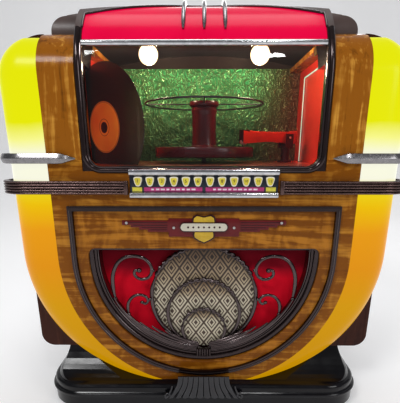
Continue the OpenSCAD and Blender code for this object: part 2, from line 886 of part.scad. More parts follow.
module tonearm_post() {
    color("#5a0f14") translate([arm_pivot[0], arm_pivot[1], deck_z]) {
        cylinder(r = 13, h = 4);
        difference() {
            cylinder(r = 8, h = 26);
            translate([0, 0, 10]) cylinder(r = 4.05, h = 20);
        }
    }
}

module tonearm_yoke() {
    color("#5a0f14") at_arm(0) {
        translate([0, 0, deck_z + 11]) cylinder(r = 4, h = 20);
        translate([0, 0, deck_z + 26.5]) cylinder(r = 9, h = 4);
        for (s = [-1, 1]) difference() {
            translate([-8, s * 11.5 - 1.5, deck_z + 26.5]) cube([16, 3, arm_z - deck_z - 20]);
            translate([0, s * 11.5 - 3, arm_z]) rotate([-90, 0, 0]) cylinder(r = 2.06, h = 6);
        }
        translate([-8, -12.5, deck_z + 26.5]) cube([16, 25, 3.5]);
    }
}

module tonearm() {
    length = norm(arm_tip - arm_pivot);
    color("#c41a12") at_arm(0) {
        difference() {
            translate([-22, -8, arm_z - 11.5]) cube([length + 26, 16, 24]);
            translate([-23, -6, arm_z - 12.5]) cube([length + 6, 12, 21]);
        }
        translate([0, -14, arm_z]) rotate([-90, 0, 0]) cylinder(r = 2, h = 28);
    }
    color("#e9c3b0") at_arm(0) {
        translate([length - 4, 0, arm_z - 13]) cylinder(r1 = 5, r2 = 7, h = 4.5);
        translate([length - 4, 0, platter_z[1] + 0.8]) cylinder(r1 = 0.6, r2 = 2, h = arm_z - 13 - platter_z[1] - 0.8);
    }
}

module record() {
    color("#17110f") translate(record_at) rotate([0, 0, record_turn]) {
        rotate([90, 0, 0]) difference() {
            cylinder(r = record_r, h = 2, center = true);
            cylinder(r = 3.6, h = 4, center = true);
        }
        block([-30, -8, deck_z - record_at[2] - 34], [30, 8, deck_z - record_at[2] - 3]);
    }
}

// ---- back -----------------------------------------------------------------

module rear_door() {
    color("#2b110d") difference() {
        block([-door_w, back - wall, door_z[0]], [door_w, back, door_z[1]]);
        for (i = [-4 : 4]) block([i * 26 - 8, back - wall - 1, 430], [i * 26 + 8, back + 1, 500]);
        translate([door_w - 18, back - wall - 1, 340]) rotate([-90, 0, 0]) cylinder(r = 6, h = 30);
    }
    color("#8d8580") for (z = [188.3, 448.3]) translate([door_hinge[0], door_hinge[1], z]) {
        difference() {
            union() {
                cylinder(r = 4, h = 43.4);
                block([0, -3.9, 0], [10, -1.9, 43.4]);
                block([9, -4.2, 0], [24, -1.9, 43.4]);
            }
            translate([0, 0, -1]) cylinder(r = 2.06, h = 46);
        }
    }
    color("#c9c6c4") translate([door_w - 18, back - wall + 2, 340]) rotate([-90, 0, 0])
        cylinder(r = 5.9, h = wall);
}

module volume_knob() {
    color("#151515") translate([120, back + 0.6, 119]) rotate([-90, 0, 0]) {
        cylinder(r1 = 13, r2 = 11, h = 9);
        translate([0, 0, -26]) cylinder(r = 3.95, h = 26.5);
    }
}

// Badge rivets, and the fixed halves of the lid and door hinges with their pins
module fasteners() {
    color("#c9c6c4") {
        for (p = [[-118, 328], [-46, 320.5], [46, 320.5], [118, 328]])
            translate([p[0], -face - 3.5, p[1]]) rotate([90, 0, 0]) cylinder(r = 2, h = 1.4, $fn = 24);
        for (x = [-151, 80]) translate([x, hinge_y, hinge_z]) rotate([0, 90, 0])
            cylinder(r = 2.5, h = 72.6);
        for (x = [-151, -83, 80, 148]) {
            block([x, hinge_y - 4, shoulder[1] + shoulder_r], [x + 4.6, hinge_y + 4, hinge_z - 4]);
            translate([x, hinge_y, hinge_z]) rotate([0, 90, 0]) cylinder(r = 5, h = 4.6);
        }
        for (z = [181, 441]) translate([door_hinge[0], door_hinge[1], z])
            cylinder(r = 2, h = 58);
        for (z = [181, 232, 441, 492]) {
            block([door_hinge[0] - 10, back, z], [door_hinge[0] - 2.5, back + 2, z + 7]);
            translate([door_hinge[0], door_hinge[1], z]) cylinder(r = 4, h = 7);
        }
    }
}

feet();
base_plinth();
cabinet_floor();
baffle_board();
left_side();
right_side();
rear_frame();
front_panel();
cheeks();
d_moulding();
grille_panel();
opening_trim();
grille_backing();
grille_cloth();
scroll_casting();
base_ornament();
badge_plate();
badge_shield();
window_glass();
window_trim();
selector_housing();
left_band();
right_band();
left_spear();
right_spear();
left_plastic_upper();
left_plastic_lower();
right_plastic_upper();
right_plastic_lower();
interior_liner();
foil_wall();
lamps();
speaker();
amplifier();
coin_mechanism();
motor();
tonearm_post();
record();
fasteners();
key(1);  // key_01
key(2);  // key_02
key(3);  // key_03
key(4);  // key_04
key(5);  // key_05
key(6);  // key_06
key(7);  // key_07
key(8);  // key_08
key(9);  // key_09
key(10);  // key_10
key(11);  // key_11
key(12);  // key_12
turntable();
idler_wheel();
tonearm_yoke();
tonearm();
lid_frame();
lid_plastic();
lid_chrome();
rear_door();
volume_knob();
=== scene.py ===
import bpy
import bmesh
from math import asin, atan2, cos, degrees, hypot, pi, radians, sin, sqrt
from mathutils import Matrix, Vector, noise


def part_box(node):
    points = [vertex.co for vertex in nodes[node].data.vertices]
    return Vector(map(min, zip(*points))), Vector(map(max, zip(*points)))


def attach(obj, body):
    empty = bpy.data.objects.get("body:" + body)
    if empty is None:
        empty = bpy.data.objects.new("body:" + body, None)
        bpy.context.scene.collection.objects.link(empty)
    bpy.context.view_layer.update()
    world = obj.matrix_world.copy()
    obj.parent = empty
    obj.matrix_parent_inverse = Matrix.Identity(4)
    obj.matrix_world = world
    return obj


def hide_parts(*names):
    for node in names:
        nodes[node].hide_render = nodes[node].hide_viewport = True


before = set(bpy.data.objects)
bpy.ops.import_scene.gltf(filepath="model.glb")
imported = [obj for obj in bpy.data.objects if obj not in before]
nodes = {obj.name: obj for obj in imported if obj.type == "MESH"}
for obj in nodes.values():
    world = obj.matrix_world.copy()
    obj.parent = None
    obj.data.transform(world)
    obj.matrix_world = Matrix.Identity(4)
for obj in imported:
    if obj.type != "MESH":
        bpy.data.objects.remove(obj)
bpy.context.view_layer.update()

MM = 0.001
TAU = 2 * pi
scene = bpy.context.scene

# ---------------------------------------------------------------- sizes, in mm


def mm_box(node):
    lo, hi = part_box(node)
    return [c / MM for c in lo], [c / MM for c in hi]


FACE = mm_box("front_panel")[0][1]             # front of the wood, -196
FRONT_R = mm_box("front_panel")[1][0]          # 230
ARC_Z = mm_box("front_panel")[0][2] + FRONT_R  # centre of the lower arcs, 270
BAFFLE = mm_box("baffle_board")[0][1]          # front of the baffle board, -154
SIDE_W = mm_box("right_side")[1][0]            # 292
SHOULDER_Z = mm_box("right_side")[1][2] - (SIDE_W - FRONT_R)
DECK_Z = mm_box("foil_wall")[0][2]             # compartment floor, 411
FOIL_Y = mm_box("foil_wall")[0][1]
SPLIT_Z = mm_box("lid_frame")[0][2]            # underside of the hood, 595
ROLL_R, ROLL_Z = 113.0, 530.0                  # roll of the front over the window
ROLL_Y = FACE + ROLL_R
OPEN_TOP = ARC_Z + 17                          # straight top of the grille's opening
DOMES = [(196.0, 88.0), (168.0, 61.0), (141.5, 36.5)]  # height and radius of each cloth disc
RECORD_AT, RECORD_TURN = (-168.0, -88.0, 470.0), -40.0
COLUMN_W, COLUMN_D, COLUMN_T = 68, 41, 3       # width, depth and wall of the lit plastics
LAMP_X, LAMP_Y, LAMP_Z = 88, -100, 577         # bulbs over the window
DIAMOND_W, DIAMOND_H = 0.0270, 0.0380          # weave of the speaker cloth, in metres
GROOVE = 0.0011                                # spacing of the record's rings, in metres
LABEL_R = 0.041                                # radius of the record's label, in metres
SIDES = (("left", -1), ("right", 1))

# ---------------------------------------------------------------- materials


class Shader:
    """A Principled material whose colour, roughness and bump come from nodes."""

    def __init__(self, name, **fixed):
        self.mat = bpy.data.materials.new(name)
        self.mat.use_nodes = True
        self.tree = self.mat.node_tree
        self.bsdf = self.tree.nodes["Principled BSDF"]
        for key, value in fixed.items():
            self.bsdf.inputs[key.replace("_", " ")].default_value = value
        self.coords = None

    def node(self, kind, **settings):
        n = self.tree.nodes.new(kind)
        for key, value in settings.items():
            if hasattr(n, key):
                setattr(n, key, value)
            else:
                n.inputs[key.replace("_", " ")].default_value = value
        return n

    def link(self, value, to):
        """Feeds a socket from an output, a number or a colour."""
        if isinstance(value, (int, float)):
            to.default_value = value
        elif isinstance(value, tuple):
            to.default_value = (*value, 1)
        else:
            self.tree.links.new(value, to)

    def where(self, scale=(1, 1, 1)):
        if self.coords is None:
            self.coords = self.node("ShaderNodeTexCoord").outputs["Object"]
        m = self.node("ShaderNodeMapping")
        m.inputs["Scale"].default_value = scale
        self.link(self.coords, m.inputs["Vector"])
        return m.outputs["Vector"]

    def noise(self, scale, detail=3.0, rough=0.5, distort=0.0, stretch=(1, 1, 1)):
        n = self.node("ShaderNodeTexNoise", Scale=scale, Detail=detail, Roughness=rough, Distortion=distort)
        self.link(self.where(stretch), n.inputs["Vector"])
        return n.outputs["Fac"]

    def math(self, op, *values):
        n = self.node("ShaderNodeMath", operation=op)
        for i, v in enumerate(values):
            self.link(v, n.inputs[i])
        return n.outputs[0]

    def axis(self, which):
        n = self.node("ShaderNodeSeparateXYZ")
        self.link(self.where(), n.inputs[0])
        return n.outputs[which]

    def ramp(self, value, stops):
        n = self.node("ShaderNodeValToRGB")
        marks = n.color_ramp.elements
        while len(marks) < len(stops):
            marks.new(0.5)
        for mark, (pos, colour) in zip(marks, stops):
            mark.position = pos
            mark.color = (*colour, 1)
        self.link(value, n.inputs["Fac"])
        return n.outputs["Color"]

    def blend(self, value, low, high):
        """From one colour at 0.3 to another at 0.7."""
        return self.ramp(value, [(0.3, low), (0.7, high)])

    def grade(self, value, low, high, to_low=0.0, to_high=1.0):
        n = self.node("ShaderNodeMapRange")
        for i, v in enumerate((value, low, high, to_low, to_high)):
            self.link(v, n.inputs[i])
        return n.outputs[0]

    def mix(self, fac, a, b, blend="MIX"):
        n = self.node("ShaderNodeMix", data_type="RGBA", blend_type=blend)
        for i, v in ((0, fac), (6, a), (7, b)):
            self.link(v, n.inputs[i])
        return n.outputs[2]

    def colour(self, out):
        self.link(out, self.bsdf.inputs["Base Color"])

    def rough(self, out):
        self.link(out, self.bsdf.inputs["Roughness"])

    def glow(self, out):
        self.link(out, self.bsdf.inputs["Emission Color"])

    def bump(self, height, distance, strength=1.0):
        n = self.node("ShaderNodeBump", Distance=distance, Strength=strength)
        self.link(height, n.inputs["Height"])
        if self.bsdf.inputs["Normal"].is_linked:
            self.link(self.bsdf.inputs["Normal"].links[0].from_socket, n.inputs["Normal"])
        self.link(n.outputs["Normal"], self.bsdf.inputs["Normal"])
        return self


def veneer(name, dark, mid, light, along="z", figure=1.0, gloss=0.12):
    """Lacquered figured veneer: fibres along one axis with cross-figure shimmer."""
    s = Shader(name, Coat_Weight=0.04, Coat_Roughness=0.12, Specular_IOR_Level=0.10)
    fine, wide = {"z": ((260, 260, 9), (34, 34, 3.4)), "x": ((9, 260, 260), (3.4, 34, 34))}[along]
    cross = {"z": (11, 11, 30), "x": (30, 11, 13)}[along]
    fibre = s.noise(1.0, 5, 0.6, 0.4, fine)
    band = s.noise(1.0, 3, 0.55, 2.6, wide)
    flame = s.noise(1.0, 3, 0.5, 2.2, cross)
    tone = s.math("ADD", s.math("MULTIPLY", band, 0.62), s.math("MULTIPLY", fibre, 0.24))
    tone = s.math("ADD", tone, s.math("MULTIPLY", flame, 0.26 * figure))
    s.colour(s.ramp(tone, [(0.34, dark), (0.47, mid), (0.56, mid), (0.70, light)]))
    s.rough(s.grade(flame, 0.3, 0.7, gloss + 0.1, gloss))
    return s.bump(fibre, 0.00006, 0.35).mat


def metal(name, colour, rough, wear=0.05, scale=60.0, metallic=1.0, coat=0.0):
    s = Shader(name, Metallic=metallic, Coat_Weight=coat, Coat_Roughness=0.08)
    n = s.noise(scale, 4, 0.6)
    dark = tuple(c * 0.72 for c in colour)
    s.colour(s.ramp(n, [(0.3, dark), (0.62, colour)]))
    s.rough(s.grade(s.noise(scale * 2.3, 3), 0.3, 0.7, rough, rough + wear))
    return s.bump(n, 0.00008, 0.3).mat


def plastic(name, colour, rough=0.25, coat=0.3, speck=0.1, scale=90.0):
    s = Shader(name, Coat_Weight=coat * 0.3, Coat_Roughness=0.06, Specular_IOR_Level=0.25)
    n = s.noise(scale, 3)
    s.colour(s.ramp(n, [(0.3, tuple(c * (1 - speck) for c in colour)), (0.7, colour)]))
    s.rough(s.grade(s.noise(scale * 0.4, 4), 0.3, 0.7, rough, rough + 0.08))
    return s.bump(s.noise(scale * 3, 2), 0.00003, 0.4).mat


def column_material(name, stops, low, high, strength, base):
    """Translucent lit plastic: its glow changes with height and has faint clouds in it."""
    s = Shader(name, Roughness=0.25, Coat_Weight=0.03, Specular_IOR_Level=0.08, Emission_Strength=strength)
    cloud = s.noise(9, 4, 0.5, 0.8)
    z = s.math("ADD", s.grade(s.axis(2), low * MM, high * MM), s.grade(cloud, 0.2, 0.8, -0.02, 0.02))
    s.glow(s.ramp(z, stops))
    s.colour(s.mix(s.grade(cloud, 0.35, 0.7, 0.0, 0.5), base, tuple(c * 0.8 for c in base)))
    return s.bump(cloud, 0.0003, 0.25).mat


WALNUT = ((0.070, 0.016, 0.001), (0.205, 0.062, 0.003), (0.48, 0.20, 0.02))
M = {}
M["front"] = veneer("front_veneer", *WALNUT, along="x", figure=1.1)
M["cheek"] = veneer("cheek_veneer", (0.10, 0.030, 0.003), (0.29, 0.095, 0.007), (0.66, 0.31, 0.045),
                    along="z", figure=0.8)
M["panel"] = veneer("panel_veneer", (0.075, 0.018, 0.001), (0.175, 0.052, 0.003), (0.42, 0.16, 0.014),
                    along="x", figure=1.3)
M["mahogany"] = veneer("dark_mahogany", (0.012, 0.004, 0.003), (0.042, 0.012, 0.007), (0.085, 0.026, 0.014),
                       along="z", figure=0.5, gloss=0.14)
METALS = {    # name, colour, roughness, wear, grain, how metallic, coat
    "dark_metal": ("dark_moulding", (0.030, 0.016, 0.016), 0.16, 0.08, 70, 0.75, 0.35),
    "bronze": ("bronze_band", (0.13, 0.078, 0.072), 0.24, 0.08, 80, 0.9, 0.05),
    "chrome": ("bright_chrome", (0.62, 0.62, 0.64), 0.12, 0.08, 120),
    "scroll": ("scroll_casting", (0.070, 0.048, 0.048), 0.17, 0.07, 90, 0.9, 0.6),
    "ornament": ("black_nickel", (0.026, 0.026, 0.030), 0.15, 0.07, 90, 0.9, 0.7),
    "spear": ("dull_chrome", (0.27, 0.26, 0.27), 0.2, 0.1, 120),
    "steel": ("brushed_steel", (0.55, 0.54, 0.52), 0.25, 0.15, 150),
    "brass": ("lamp_brass", (0.55, 0.36, 0.12), 0.25, 0.15, 150),
    "grey": ("grey_hammertone", (0.25, 0.26, 0.27), 0.35, 0.1, 200, 0.5),
}
PLASTICS = {    # name, colour, roughness, coat, how specked, grain
    "black_paint": ("black_paint", (0.02, 0.02, 0.022), 0.4, 0.1),
    "knob": ("black_bakelite", (0.022, 0.018, 0.016), 0.22, 0.5),
    "badge": ("maroon_enamel", (0.13, 0.006, 0.008), 0.3, 0.15, 0.25, 40),
    "badge_dark": ("dark_maroon_line", (0.03, 0.004, 0.006), 0.3, 0.5),
    "badge_yellow": ("yellow_enamel", (0.62, 0.40, 0.035), 0.3, 0.2, 0.25, 60),
    "badge_cream": ("cream_enamel", (0.62, 0.58, 0.47), 0.28, 0.6, 0.12, 60),
    "key_rim": ("ivory_rim", (0.83, 0.78, 0.62), 0.3, 0.4, 0.1),
    "key_face": ("yellow_face", (0.80, 0.66, 0.06), 0.3, 0.4, 0.3, 160),
    "ink": ("dark_ink", (0.05, 0.03, 0.02), 0.4, 0.1),
    "selector_black": ("selector_black", (0.018, 0.022, 0.034), 0.22, 0.6),
    "label_yellow": ("label_yellow", (0.78, 0.70, 0.08), 0.35, 0.2, 0.2, 200),
    "label_pink": ("label_magenta", (0.50, 0.045, 0.20), 0.35, 0.2, 0.2, 200),
    "label_white": ("label_white", (0.85, 0.72, 0.80), 0.4, 0.1, 0.2, 300),
    "maroon": ("maroon_paint", (0.055, 0.003, 0.006), 0.25, 0.25, 0.3, 30),
    "arm_red": ("arm_red", (0.60, 0.022, 0.008), 0.25, 0.6, 0.25, 30),
    "pickup": ("pickup_pink", (0.75, 0.42, 0.34), 0.35, 0.3),
    "rubber": ("black_rubber", (0.02, 0.02, 0.02), 0.7, 0.0, 0.3, 200),
    "hood_brown": ("hood_brown", (0.085, 0.056, 0.050), 0.3, 0.12, 0.3, 22),
}
for make, rows in ((metal, METALS), (plastic, PLASTICS)):
    for key, row in rows.items():
        M[key] = make(*row)

# pale green edge of the glass strip, which glows with painted light
sh = Shader("mint_glass_edge_a", Roughness=0.1, Emission_Strength=0.45)
sh.colour(sh.blend(sh.noise(30), (0.45, 0.75, 0.6), (0.7, 0.95, 0.85)))
sh.glow(sh.blend(sh.noise(30), (0.35, 0.75, 0.55), (0.6, 0.95, 0.8)))
M["mint"] = sh.mat

# lacquered plinth
sh = Shader("black_lacquer", Specular_IOR_Level=0.28)
sh.colour(sh.ramp(sh.noise(14, 4), [(0.3, (0.002, 0.002, 0.003)), (0.75, (0.006, 0.0055, 0.008))]))
sh.rough(sh.grade(sh.noise(35, 5), 0.3, 0.7, 0.12, 0.24))
sh.bump(sh.noise(180, 2), 0.00004, 0.3)
M["lacquer"] = sh.mat

# lit plastics
Y, W, WY = (0.83, 0.84, 0.0), (1.0, 1.0, 0.86), (0.98, 0.98, 0.30)
M["column_top"] = column_material(
    "yellow_plastic", [(0.0, (0.95, 0.80, 0.02)), (0.05, (1.0, 0.93, 0.35)), (0.10, W), (0.26, W),
                       (0.36, WY), (0.46, Y), (1.0, (0.80, 0.82, 0.0))], 372, 590, 0.88, (0.09, 0.09, 0.002))
M["column_low"] = column_material(
    "orange_plastic", [(0.0, (0.60, 0.30, 0.0)), (0.42, (0.72, 0.36, 0.001)), (0.62, (0.84, 0.33, 0.004)),
                       (0.8, (0.92, 0.38, 0.005)), (0.93, (0.98, 0.62, 0.0)), (1.0, (1.0, 0.80, 0.01))],
    52, 376, 0.80, (0.08, 0.022, 0.0))

# crimson lit panel of the hood
sh = Shader("crimson_panel", Roughness=0.2, Coat_Weight=0.03, Coat_Roughness=0.05, Emission_Strength=0.72,
            Specular_IOR_Level=0.06)
n = sh.noise(5, 3, 0.5, 0.5)
sh.colour(sh.blend(n, (0.20, 0.0, 0.012), (0.28, 0.001, 0.02)))
sh.glow(sh.blend(n, (0.74, 0.0, 0.042), (0.88, 0.002, 0.062)))
sh.bump(sh.noise(12, 2), 0.0002, 0.12)
M["crimson"] = sh.mat

# window glass: a faint mirror, clear between
sh = Shader("window_glass", Metallic=1.0, Roughness=0.02, Base_Color=(0.93, 0.97, 0.96, 1))
lw = sh.node("ShaderNodeLayerWeight", Blend=0.25)
sh.link(sh.grade(lw.outputs["Facing"], 0.0, 1.0, 0.015, 0.22), sh.bsdf.inputs["Alpha"])
sh.bump(sh.noise(6, 2), 0.0004, 0.08)
M["glass"] = sh.mat

# red board behind the grille, with painted shadow that darkens it under the ledge
sh = Shader("grille_red", Roughness=0.8, Specular_IOR_Level=0.1)
n = sh.math("ADD", sh.axis(2), sh.grade(sh.noise(20, 3), 0.2, 0.8, -0.003, 0.003))
sh.colour(sh.ramp(sh.grade(n, 0.120, 0.284), [(0.0, (0.62, 0.002, 0.016)), (0.66, (0.64, 0.002, 0.016)),
                                              (0.78, (0.26, 0.002, 0.012)), (1.0, (0.13, 0.002, 0.008))]))
weave = sh.node("ShaderNodeTexWave", Scale=220.0, bands_direction="DIAGONAL")
sh.link(sh.where(), weave.inputs["Vector"])
sh.bump(weave.outputs["Fac"], 0.0002, 0.5)
M["grille_red"] = sh.mat

# red compartment walls: bright at the sides, dusky on the floor
sh = Shader("liner_red", Roughness=0.4, Coat_Weight=0.2)
n = sh.noise(16, 4, 0.6)
side = sh.grade(sh.math("ABSOLUTE", sh.axis(0)), 0.14, 0.2)
floor = sh.blend(n, (0.10, 0.018, 0.008), (0.17, 0.032, 0.012))
wall = sh.blend(n, (0.62, 0.02, 0.012), (0.80, 0.035, 0.018))
sh.colour(sh.mix(side, floor, wall))
sh.bump(n, 0.0002, 0.3)
M["liner"] = sh.mat

# crinkled green foil: sharp creases with painted highlights, and painted light that brightens it towards the
# lamps at the top
sh = Shader("green_foil", Metallic=0.7, Specular_IOR_Level=0.4)
bend = sh.node("ShaderNodeTexNoise", Scale=22.0, Detail=3.0)
sh.link(sh.where(), bend.inputs["Vector"])
warp = sh.node("ShaderNodeVectorMath", operation="MULTIPLY_ADD")
sh.link(bend.outputs["Color"], warp.inputs[0])
warp.inputs[1].default_value = (0.06, 0.06, 0.06)
sh.link(sh.where(), warp.inputs[2])
vo = sh.node("ShaderNodeTexVoronoi", feature="DISTANCE_TO_EDGE", Scale=150.0, Randomness=1.0)
stretch = sh.node("ShaderNodeMapping")
stretch.inputs["Scale"].default_value = (1.0, 1.0, 0.55)
stretch.inputs["Rotation"].default_value = (0, 0.6, 0)
sh.link(warp.outputs[0], stretch.inputs["Vector"])
sh.link(stretch.outputs[0], vo.inputs["Vector"])
crease = sh.ramp(vo.outputs["Distance"], [(0.0, (1, 1, 1)), (0.10, (0.35, 0.35, 0.35)), (0.35, (0, 0, 0))])
# painted light: the foil grows brighter towards the lamps at the top
lit = sh.grade(sh.axis(2), 0.42, 0.575)
tone = sh.ramp(lit, [(0.0, (0.008, 0.035, 0.014)), (0.5, (0.015, 0.10, 0.035)), (1.0, (0.04, 0.34, 0.11))])
# painted highlights: the creases turn pale
pale = sh.mix(crease, tone, sh.mix(lit, (0.03, 0.10, 0.03), (0.22, 0.50, 0.20)))
right = sh.grade(sh.axis(0), 0.10, 0.19)
sh.colour(sh.mix(right, pale, (0.10, 0.045, 0.02)))
sh.rough(sh.grade(crease, 0, 1, 0.5, 0.22))
sh.bump(crease, 0.0012, 0.7)
sh.bump(sh.noise(120, 3, 0.6), 0.0005, 0.5)
M["foil"] = sh.mat


def cloth_material(name, top, shade_from):
    """Woven diamonds, with painted shade that darkens and browns the weave towards the top of its circle."""
    s = Shader(name, Roughness=0.6, Sheen_Weight=0.3)
    x, z = s.axis(0), s.axis(2)
    across, up = s.math("DIVIDE", x, DIAMOND_W), s.math("DIVIDE", z, DIAMOND_H)
    slants = []
    for op in ("ADD", "SUBTRACT"):
        cell = s.math("FRACT", s.math("ADD", s.math(op, across, up), 50))
        slants.append(s.math("ABSOLUTE", s.math("SUBTRACT", cell, 0.5)))
    m = s.math("MULTIPLY", s.math("MAXIMUM", *slants), 2)
    cream, brown = (0.56, 0.50, 0.37), (0.050, 0.026, 0.014)
    pattern = s.ramp(m, [(0.0, brown), (0.24, brown), (0.28, cream), (0.44, cream), (0.48, brown),
                         (0.60, brown), (0.64, cream), (0.84, cream), (0.88, brown), (1.0, brown)])
    # painted shade: the cloth darkens and browns towards the top of its disc
    painted_shade = s.ramp(s.grade(z, shade_from * MM, top * MM), [
        (0.0, (1, 1, 1)), (0.35, (0.66, 0.56, 0.46)), (0.8, (0.30, 0.19, 0.12)), (1.0, (0.16, 0.09, 0.05))])
    s.colour(s.mix(1.0, pattern, painted_shade, "MULTIPLY"))
    thread = s.node("ShaderNodeTexWave", Scale=900.0, bands_direction="X")
    s.link(s.where(), thread.inputs["Vector"])
    s.bump(m, 0.0006, 0.5)
    return s.bump(thread.outputs["Fac"], 0.0001, 0.4).mat


def from_axle(s):
    """Distance from the record's axle, in metres."""
    x, z = s.axis(0), s.axis(2)
    return s.math("SQRT", s.math("ADD", s.math("MULTIPLY", x, x), s.math("MULTIPLY", z, z)))


def record_material():
    s = Shader("record_grooves", Coat_Weight=0.1, Specular_IOR_Level=0.35)
    wave = s.math("SINE", s.math("MULTIPLY", from_axle(s), TAU / GROOVE))
    s.colour(s.blend(s.noise(9, 2), (0.010, 0.005, 0.004), (0.026, 0.013, 0.010)))
    s.rough(s.grade(wave, -1, 1, 0.22, 0.36))
    return s.bump(wave, 0.00008, 0.6).mat


def label_material():
    s = Shader("record_label", Roughness=0.5, Emission_Strength=0.12)
    tone = s.blend(s.noise(25, 3), (0.90, 0.16, 0.012), (1.0, 0.28, 0.02))
    ring = s.ramp(s.grade(from_axle(s), 0.0, LABEL_R), [(at, (v, v, v)) for at, v in (
        (0.0, 0), (0.30, 0), (0.31, 1), (0.34, 1), (0.35, 0), (0.93, 0), (0.94, 1), (1.0, 1))])
    # painted light: the paper label glows faintly though it is no lamp
    s.glow(tone)
    s.colour(s.mix(ring, tone, (0.45, 0.06, 0.012)))
    return s.bump(s.noise(300, 2), 0.00005, 0.4).mat


# each disc's top, and the height where its painted shade starts, in mm
for i, (size, top, shade_from) in enumerate((("large", 284, 200), ("middle", 229, 192), ("small", 178, 155))):
    M["cloth%d" % i] = cloth_material("diamond_cloth_" + size, top, shade_from)
M["record"] = record_material()
M["label"] = label_material()

sh = Shader("lamp_bulb", Roughness=0.3, Emission_Strength=2.6)
sh.colour(sh.blend(sh.noise(20), (1.0, 0.9, 0.72), (1.0, 0.95, 0.82)))
sh.glow(sh.blend(sh.noise(20), (1.0, 0.70, 0.36), (1.0, 0.78, 0.46)))
M["bulb"] = sh.mat

# wood of the back, with bright metal wherever the hinges stand proud of it
sh = Shader("back_board", Coat_Weight=0.3, Coat_Roughness=0.2)
fib = sh.noise(1.0, 5, 0.6, 0.5, (160, 160, 8))
proud = sh.math("GREATER_THAN", sh.axis(1), (mm_box("cabinet_floor")[1][1] + 12.1) * MM)
wood = sh.ramp(fib, [(0.3, (0.020, 0.008, 0.005)), (0.55, (0.055, 0.022, 0.012)),
                     (0.8, (0.10, 0.045, 0.022))])
sh.colour(sh.mix(proud, wood, (0.50, 0.44, 0.36)))
sh.link(proud, sh.bsdf.inputs["Metallic"])
sh.rough(sh.grade(fib, 0.3, 0.7, 0.34, 0.5))
sh.bump(fib, 0.0002, 0.4)
M["back"] = sh.mat

# ---------------------------------------------------------------- mesh helpers


def piece(name, b, mat, body="cabinet", slot=None, stands_for=(), smooth=35.0, at=None):
    """A mesh object in the row frame from a Build in mm. smooth is the crease angle in degrees, and at
    is the object's place (mm) and turn, for a build about its own origin."""
    mesh = bpy.data.meshes.new(name)
    mesh.from_pydata([Vector(v) * MM for v in b.v], [], b.f)
    mesh.validate()
    bm = bmesh.new()
    bm.from_mesh(mesh)
    bmesh.ops.remove_doubles(bm, verts=bm.verts, dist=1e-7)
    bmesh.ops.recalc_face_normals(bm, faces=bm.faces)
    bm.to_mesh(mesh)
    bm.free()
    obj = add_object(name, mesh)
    mesh.materials.append(M[mat])
    shade(mesh, smooth)
    if at:
        obj.location = Vector(at[0]) * MM
        obj.rotation_euler = at[1]
    finish_piece(obj, body, stands_for)


def add_object(name, data):
    obj = bpy.data.objects.new(name, data)
    scene.collection.objects.link(obj)
    return obj


def shade(mesh, angle):
    for p in mesh.polygons:
        p.use_smooth = True
    bm = bmesh.new()
    bm.from_mesh(mesh)
    limit = radians(angle)
    for e in bm.edges:
        e.smooth = not (len(e.link_faces) == 2 and e.calc_face_angle(0) > limit)
    bm.to_mesh(mesh)
    bm.free()


def finish_piece(obj, body, stands_for):
    if stands_for:
        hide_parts(*stands_for)
    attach(obj, body)


